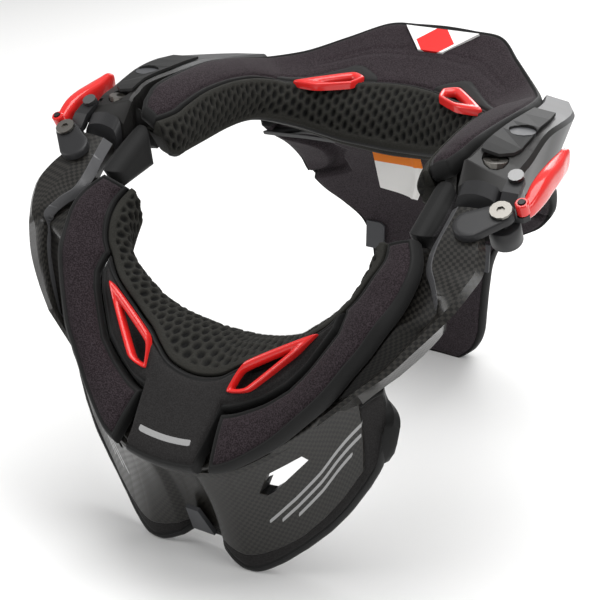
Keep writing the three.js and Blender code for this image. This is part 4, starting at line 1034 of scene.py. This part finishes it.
def chest_patch(last, columns, set_back, top_inset, rimmed):
    """The plate's face, or the pad's with its rim, out to a share of the half width. With t from 0
    at the top to 1 below, it bows by 4 t (1 - t). Returns it and its lower line."""
    x = np.linspace(last, 0, 150)
    table = np.array(CHEST)
    stations = np.interp(x, table[:, 0], np.arange(len(table))[::-1])
    row = rows_at(table[::-1, ::-1], stations, False)[:, ::-1]
    top = place(np.stack([x, row[:, 1], row[:, 2] - TOP_SET], -1))
    bottom = place(np.stack([x, row[:, 3], row[:, 4]], -1))
    low = bottom + RIM_DOWN * (row[:, 5:6] * FRONT_REACH if rimmed else 0)
    inset = np.interp(x, [0.72, 0.78], [0.017, top_inset])[:, None] if rimmed else top_inset
    top = top + unit(low - top) * inset
    t = crowded(columns, 0.6)[None, :, None]
    bow = CHEST_FACE * (-CHEST_BOW * 4 * t * (1 - t))
    face = mixed(top[:, None], low[:, None], t) + bow - CHEST_FACE * set_back
    return whole(face), low


def slot_prisms():
    """Cutters from front to back through the chest slots' outlines, which are convex."""
    outline = np.array(CHEST_HOLE)
    front = np.stack([outline[:, 0] * HALF_WIDTH, np.full(len(outline), -0.15),
                      outline[:, 1] * DROP], -1) + HUB
    prism = np.vstack([front, front + np.array([0, 0.10, 0])])
    return [hull_of(prism), hull_of(mirrored(prism))]


face, _ = chest_patch(PLATE_LAST, 104, 0, PLATE_TOP_INSET, False)
aside = np.abs(face[..., 0] - HUB[0])
fall = arc_lengths(face, 1) + BAR_SLANT * (aside - 0.055)
mark = np.max([0.5 + np.minimum(BAR_HALF - np.abs(fall - level),
                                np.minimum(aside - start, stop - aside)) / MARK_RUN
               for level, start, stop in PLATE_BARS], 0)
plate = pillow("chest_plate_carbon", face, PLATE_THICK, CHEST_FACE, binding=0, round_off=0.0012,
               values={"mark": mark})
plate = carved(plate, slot_prisms())
dress(plate, "brace", carbon, "carbon", "chest_plate")

# Chest pad. Black neoprene over foam lies behind the plate and is cut through at its slots. A
# round black piping runs along its lower rim.
CHEST_SEAT = 0.00105
RIM_LOWEST = 0.0026

face, low = chest_patch(1.0, 40, PLATE_THICK + CHEST_SEAT, 0.003, True)
chest = pillow("chest_pad_neoprene", face, CHEST_PAD_THICK, CHEST_FACE, puff=0.0, seam=0.0006)
chest = carved(chest, slot_prisms())
dress(chest, "brace", panel_cloth, "neoprene", "chest_pad")
rim = whole(low) - CHEST_FACE * (PLATE_THICK + CHEST_PAD_THICK / 2)
rim[:, 2] = np.maximum(rim[:, 2], RIM_LOWEST)
dress(tube("chest_pad_piping", rim[::2]), "brace", piping_cloth, "panel")

# Back pad. A tall pad hangs down the back: plum-grey cloth over foam, bound in black, and a
# stiff shell behind it.
BACK = [
    # half width, middle y, z, edge y
    [0.960, 0.665, -0.225, 0.580], [0.965, 0.700, -0.275, 0.650], [0.955, 0.755, -0.330, 0.740],
    [0.945, 0.810, -0.400, 0.820], [0.910, 0.850, -0.460, 0.850], [0.820, 0.885, -0.520, 0.880],
    [0.670, 0.905, -0.570, 0.900], [0.530, 0.915, -0.620, 0.905], [0.460, 0.922, -0.700, 0.912],
    [0.435, 0.930, -0.800, 0.920], [0.420, 0.940, -0.900, 0.930], [0.405, 0.948, -0.985, 0.940],
    [0.350, 0.952, -1.050, 0.946], [0.230, 0.955, -1.105, 0.952],
]
BACK_VENT = [[0.975, 0.590, -0.242], [0.840, 0.628, -0.226], [0.500, 0.675, -0.232],
             [0.370, 0.700, -0.285], [0.680, 0.655, -0.268]]
BACK_PAD_THICK = 0.010
NECKWARDS = np.array([0, -0.7, 0.7])

back_cloth = cloth_material("back_pad_cloth", (0.020, 0.016, 0.018), (0.046, 0.038, 0.043))
back_plane = vent_plane(BACK_VENT, NECKWARDS)
row = rows_at(BACK, np.linspace(0, 13, 190), False)
share = (crowded(110, 0.4) * 2 - 1)[None, :]
half = row[:, 0:1]
y = row[:, 1:2] + (row[:, 3:4] - row[:, 1:2]) * share ** 2
patch = place(np.stack([half * share, y, np.broadcast_to(row[:, 2:3], y.shape)], -1))
pit, _ = vent_pit(patch, back_plane)
back = pillow("back_pad_cloth", patch, BACK_PAD_THICK, np.array([0, -1.0, 0.0]), relief=pit)
dress(back, "brace", back_cloth, "neoprene", "back_pad")
moulded = new_material("dark_moulded", (0.017, 0.017, 0.018), 0.42)[0]
paint(moulded, "back_shell")
grey_moulded = new_material("grey_moulded", (0.055, 0.056, 0.060), 0.5)[0]
paint(grey_moulded, "back_tab_left", "back_tab_right", "chest_tab")

# Vents. Kite-shaped glossy red rings are set into the pads over open holes, dark grey ones into
# the back pad: a rounded outline with a rounded section, thickest at the outer edge.
VENTS = {
    # name: corners, facing, hole's share at the tip and elsewhere, height over the corners
    "front_vent": (FRONT_VENT, UPWARDS, 0.64, 0.56, 0.0022),
    "rear_vent": (REAR_VENT, UPWARDS, 0.50, 0.50, 0.0018),
    "back_vent": (BACK_VENT, NECKWARDS, 0.60, 0.50, 0.0018),
}


def rounded(outline, corner=0.10, rounds=3):
    """A closed outline with its corners cut by a share of each side, and then again and again
    by quarters (Chaikin)."""
    after = np.roll(outline, -1, 0)
    outline = np.stack([mixed(outline, after, corner), mixed(outline, after, 1 - corner)],
                       1).reshape(-1, 2)
    for _ in range(rounds):
        after = np.roll(outline, -1, 0)
        outline = np.stack([outline * 0.75 + after * 0.25, outline * 0.25 + after * 0.75],
                           1).reshape(-1, 2)
    return outline


def vent_ring(name, corners, facing, tip, end, proud):
    """A ring between the corners' outline and the hole's. The section holds, for each line round
    it, its share of the way to the hole and its height over the vent's plane."""
    origin, right, up, normal, flat = vent_plane(corners, facing)
    shares = np.where(np.arange(len(flat)) == 0, tip, end)[:, None]
    wide, hole = rounded(flat), rounded(flat * shares)
    section = np.array([[0, -0.003], [0, proud * 0.35], [0.06, proud * 0.8], [0.22, proud],
                        [0.6, proud * 0.9], [0.88, proud * 0.45], [1.0, -0.0008], [1.0, -0.003]])
    spots = mixed(wide[:, None], hole[:, None], section[None, :, :1])
    rings = origin + spots[..., :1] * right + spots[..., 1:] * up + section[None, :, 1:] * normal
    rows, columns = rings.shape[:2]
    rings = np.concatenate([rings, rings[:1]])
    return mesh_piece(name, rings, grid_quads(rows + 1, columns, True).tolist(), crease=50)


red_gloss, tree, shader = new_material("red_gloss", (0.62, 0.018, 0.016), 0.22)
plug(tree, shader, {"Coat Weight": 0.5, "Coat Roughness": 0.06})
for vent_name, (corners, facing, tip, end, proud) in VENTS.items():
    for side, sign in (("left", 1), ("right", -1)):
        spots = [[sign * c[0], c[1], c[2]] for c in corners]
        ring = vent_ring(f"{vent_name}_ring_{side}", spots, facing, tip, end, proud)
        finish = moulded if vent_name == "back_vent" else red_gloss
        slot_name = "plastic" if vent_name == "back_vent" else "red_plastic"
        dress(ring, "brace", finish, slot_name, f"{vent_name}_{side}")

# Latches. On each side a bent link turns on a steel pivot screw under a moulded cap, and holds
# the front arm to a pin on the rear arm; a glossy red lever paddle swings on the link's lug.
LEVER = [
    # x, y, z, half height, half thickness in metres
    [1.435, -0.255, -0.082, 0.0036, 0.0018], [1.450, -0.200, -0.068, 0.0048, 0.0032],
    [1.455, -0.100, -0.046, 0.0065, 0.0042], [1.455, 0.010, -0.030, 0.0065, 0.0042],
    [1.455, 0.060, -0.020, 0.0060, 0.0040], [1.455, 0.100, -0.015, 0.0065, 0.0030],
    [1.455, 0.125, -0.008, 0.0060, 0.0024], [1.455, 0.145, -0.005, 0.0035, 0.0016],
]
# each end's x, y and radius, then how far a ring grows or draws in, and its height
CAP_ENDS = ((-0.0123, -0.0105, 0.0086), (0.0, 0.0, 0.0064))
CAP_SECTION = ((0, -0.00605), (0, -0.0028), (-0.0003, -0.0022), (-0.0010, -0.0019),
               (-0.0030, -0.00185))
# each end's y share and top, then the top's and the foot's x and drop
SPACER_ENDS = ((-0.154, -0.028), (-0.206, -0.056))
SPACER_TOP = [(0.1060, 0.0075), (0.1080, 0.0020), (0.1174, 0.0), (0.1268, 0.0020),
              (0.1288, 0.0075)]
SPACER_FOOT = [(0.1288, -0.031), (0.1060, -0.031)]
# distance from the axis and height along it
HOUSING_SECTION = ((0.0060, -0.02335), (0.0077, -0.0231), (0.0082, -0.0226), (0.0082, -0.0110),
                   (0.0079, -0.0105), (0.0060, -0.01035))
HINGE = (0.0088, 0.0055)
KNUCKLE_BORE = 0.0021
KNUCKLE = 0.0034
KNUCKLE_SPAN = (-0.00605, 0.00145)
LEVER_RINGS = 60

steel = new_material("bright_steel", (0.20, 0.19, 0.175), 0.38, 1.0)[0]
chrome = new_material("pin_chrome", (0.17, 0.17, 0.17), 0.40, 1.0)[0]
for side, body in (("left", "link_left"), ("right", "link_right")):
    paint(moulded, f"latch_link_{side}")
    paint(steel, f"pivot_screw_{side}", f"arm_screw_{side}")
    paint(chrome, f"link_pin_{side}")
    paint(grey_moulded, f"shelf_button_{side}")


def cap_rings():
    """Rings of a bar's outline, two half circles joined by straight sides, one over the other.
    Each circle is its middle + (radius + grow) (cos a, sin a); the top rings draw in."""
    (x0, y0, _), (x1, y1, _) = CAP_ENDS
    turn = np.arctan2(y1 - y0, x1 - x0) + np.pi / 2 + np.linspace(0, np.pi, 24)
    grow, height = (np.array(CAP_SECTION)[:, k][:, None] for k in (0, 1))
    ends = list(zip(CAP_ENDS, (turn, turn + np.pi)))
    x = np.concatenate([x + (radius + grow) * np.cos(angle) for (x, _, radius), angle in ends], 1)
    y = np.concatenate([y + (radius + grow) * np.sin(angle) for (_, y, radius), angle in ends], 1)
    return on_latch(x, y, np.broadcast_to(height, x.shape))


def spacer_rings():
    """Rings of a collar between the arms, in even steps from its rear face to its front one: an
    arched top over a flat foot, with the corners cut."""
    rings = []
    for y, top in SPACER_ENDS:
        corners = [(x, top * DROP - drop) for x, drop in SPACER_TOP] + SPACER_FOOT
        line = rounded(np.array(corners), 0.2)
        rings.append(np.stack([line[:, 0] + HUB[0], np.full(len(line), y * FRONT_REACH + HUB[1]),
                               line[:, 1] + HUB[2]], -1))
    return mixed(rings[0], rings[1], np.linspace(0, 1, 4)[:, None, None])


def housing_rings():
    """Rings of a cylinder with small rounded rims: x = radius cos a, y = radius sin a."""
    turn = turns(48)[None]
    radius, height = (np.array(HOUSING_SECTION)[:, k][:, None] for k in (0, 1))
    return on_latch(radius * np.cos(turn), radius * np.sin(turn),
                    np.broadcast_to(height, (len(height), 48)))


def lever_rings():
    """Rings of a rounded box along the lever's line, with closed rounded ends. Across, a ring is
    half thickness times cos a to the 0.6, upwards half height times sin a to the 0.6."""
    row = rows_at(LEVER, np.linspace(0, 7, LEVER_RINGS), False)
    centre = place(row[:, :3])
    tangent = unit(np.gradient(centre, axis=0))
    up = unit(np.cross(EX, tangent))
    up = np.where(up[:, 2:] > 0, up, -up)
    turn = turns(28)[None, :, None]
    c, s = np.cos(turn), np.sin(turn)
    across = np.sign(c) * np.abs(c) ** 0.6 * row[:, 4][:, None, None]
    above = np.sign(s) * np.abs(s) ** 0.6 * row[:, 3][:, None, None]
    swell = end_swell(LEVER_RINGS, 4, 0.03)
    return centre[:, None] + swell * (across * EX + above * up[:, None])


def knuckle_rings():
    """The section of a short tube with rounded rims, turned about the lever's hinge: radius cos a
    and radius sin a from it."""
    turn = turns(32)
    low, high = KNUCKLE_SPAN
    section = [(KNUCKLE_BORE, low), (KNUCKLE * 0.85, low), (KNUCKLE, low + 0.0006),
               (KNUCKLE, high - 0.0006), (KNUCKLE * 0.85, high), (KNUCKLE_BORE, high)]
    radius, height = np.array(section).T
    x = HINGE[0] + np.cos(turn)[:, None] * radius
    y = HINGE[1] + np.sin(turn)[:, None] * radius
    return on_latch(x, y, np.broadcast_to(height, x.shape))


for side in ("left", "right"):
    turned_over = (lambda p: p) if side == "left" else mirrored
    for cad_name, shape in (("latch_plate", cap_rings()), ("latch_housing", housing_rings())):
        made = ring_piece(f"{cad_name}_moulded_{side}", turned_over(shape), crease=50)
        dress(made, "brace", moulded, "plastic", f"{cad_name}_{side}")
    collar = ring_piece(f"arm_collar_{side}", turned_over(spacer_rings()), crease=40)
    collar = softened(carved(collar, latch_cutters([])), 0.0008)
    dress(collar, "brace", moulded, "plastic", f"arm_spacer_{side}")
    lever = ring_piece(f"red_lever_{side}", turned_over(lever_rings()))
    dress(lever, f"lever_{side}", red_gloss, "red_plastic", f"latch_lever_{side}")
    skin = turned_over(knuckle_rings())
    skin = np.concatenate([skin, skin[:1]])
    faces = grid_quads(*skin.shape[:2], True).tolist()
    knuckle = mesh_piece(f"lever_knuckle_{side}", skin, faces, crease=40)
    dress(knuckle, f"lever_{side}", red_gloss, "red_plastic")

# Shelves. A thin black cover lies on each shelf of the rear frame, beside the deck pad. It is held
# down by a grey press button.
shelf_cover = new_material("shelf_cover", (0.014, 0.014, 0.014), 0.6)[0]
paint(shelf_cover, "shelf_plate_left", "shelf_plate_right")

# Side sleeves. A stretch neoprene sleeve closes the gap between the two halves beside the neck. It
# is lightly padded, with a thin bound edge.
SLEEVE = [[-0.086, -0.060], [-0.432, -0.150], [-0.341, -0.212], [-0.040, -0.186]]
SLEEVE_X = 1.030
SLEEVE_THICK = 0.0135
SLEEVE_CROWN = 0.0025

sleeve_cloth = cloth_material("sleeve_neoprene", (0.022, 0.021, 0.022), (0.040, 0.038, 0.040))
a, b, c, d = [place([SLEEVE_X, y, z]) for y, z in SLEEVE]
u, v = crowded(60, 0.5)[:, None], crowded(40, 0.5)[None, :]
patch = mixed(mixed(a, b, u[..., None]), mixed(d, c, u[..., None]), v[..., None])
for side, spots, facing in (("left", patch, EX), ("right", mirrored(patch), -EX)):
    sleeve = pillow(f"stretch_sleeve_{side}", spots, SLEEVE_THICK, facing, binding=0.0016,
                    relief=SLEEVE_CROWN * np.sin(np.pi * u) * np.sin(np.pi * v),
                    round_off=0.006, puff=0.0004, seam=0.0003)
    dress(sleeve, "brace", sleeve_cloth, "neoprene", f"side_sleeve_{side}")

# Deck badge and snap. A plain white plate with a red field is set on the deck's front slope, and
# a grey press button sits before it.
badge_low, badge_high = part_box("deck_badge")
badge_middle = (badge_low + badge_high) / 2
badge_face, tree, shader = new_material("badge_plain", (0.8, 0.8, 0.79), 0.3)
parts = node(tree, "ShaderNodeSeparateXYZ", {0: object_spot(tree)})
off = math(tree, "ABSOLUTE", math(tree, "SUBTRACT", parts.outputs[0], float(badge_middle.x)))
up_off = math(tree, "ABSOLUTE", math(tree, "SUBTRACT", parts.outputs[2], float(badge_middle.z)))
slope = math(tree, "ADD", off, math(tree, "MULTIPLY", up_off, 1.6))
inside = math(tree, "LESS_THAN", slope, 0.0135)
plug(tree, shader, {
    "Base Color": colour_mix(tree, inside, (0.80, 0.80, 0.79), (0.62, 0.02, 0.018))})
paint(badge_face, "deck_badge")
paint(grey_moulded, "rear_snap")

# Size tag. A white woven tag is sewn under the rear roll and hangs into the neck opening; an
# orange band is woven in along its top.
TAG_HEAD = place([0, 0.623, -0.219])
TAG_DOWN = unit(np.array([0, 0.06, -1]))
TAG_THICK = 0.001
TAG_STEPS = 40
# the orange band's middle below the head, and half its height
TAG_BAND = (0.0100, 0.0042)

u, v = np.linspace(0, 1, TAG_STEPS)[:, None], np.linspace(0, 1, TAG_STEPS)[None, :]
x = mixed(mixed(-0.018, -0.010, v), mixed(0.014, 0.0165, v) + 0.0045 * np.sin(np.pi * v), u)
fall = mixed(0.0, mixed(0.032, 0.036, u), v)
wave = (0.0007 * np.sin(2 * np.pi * (u * 0.9 + v * 0.3)) * v
        + 0.0012 * np.exp(-((u - 0.86) / 0.05) ** 2))
front = (TAG_HEAD + x[..., None] * EX + fall[..., None] * TAG_DOWN
         + np.array([0, -1.0, 0]) * wave[..., None])
spots = np.stack([front, front + np.array([0, TAG_THICK, 0])])
quads = grid_quads(TAG_STEPS, TAG_STEPS)
count = TAG_STEPS ** 2
grid = np.arange(count).reshape(TAG_STEPS, TAG_STEPS)
loop = np.concatenate([grid[:, 0], grid[-1, 1:], grid[::-1, -1][1:], grid[0, ::-1][1:-1]])
after = np.roll(loop, -1)
sides = np.stack([loop, after, after + count, loop + count], -1)
faces = np.concatenate([quads, quads[:, ::-1] + count, sides])
tag = mesh_piece("size_tag_woven", spots, faces.tolist(),
                 values={"drop": np.stack([fall, fall])}, crease=60)
tag_cloth, tree, shader = new_material("tag_woven", (0.80, 0.79, 0.77), 0.8)
from_middle = math(tree, "ABSOLUTE", math(tree, "SUBTRACT", point_value(tree, "drop"), TAG_BAND[0]))
band = math(tree, "LESS_THAN", from_middle, TAG_BAND[1])
plug(tree, shader, {
    "Base Color": colour_mix(tree, band, (0.80, 0.79, 0.77), (0.80, 0.22, 0.03))})
dress(tag, "brace", tag_cloth, "tag_cloth", "size_tag")
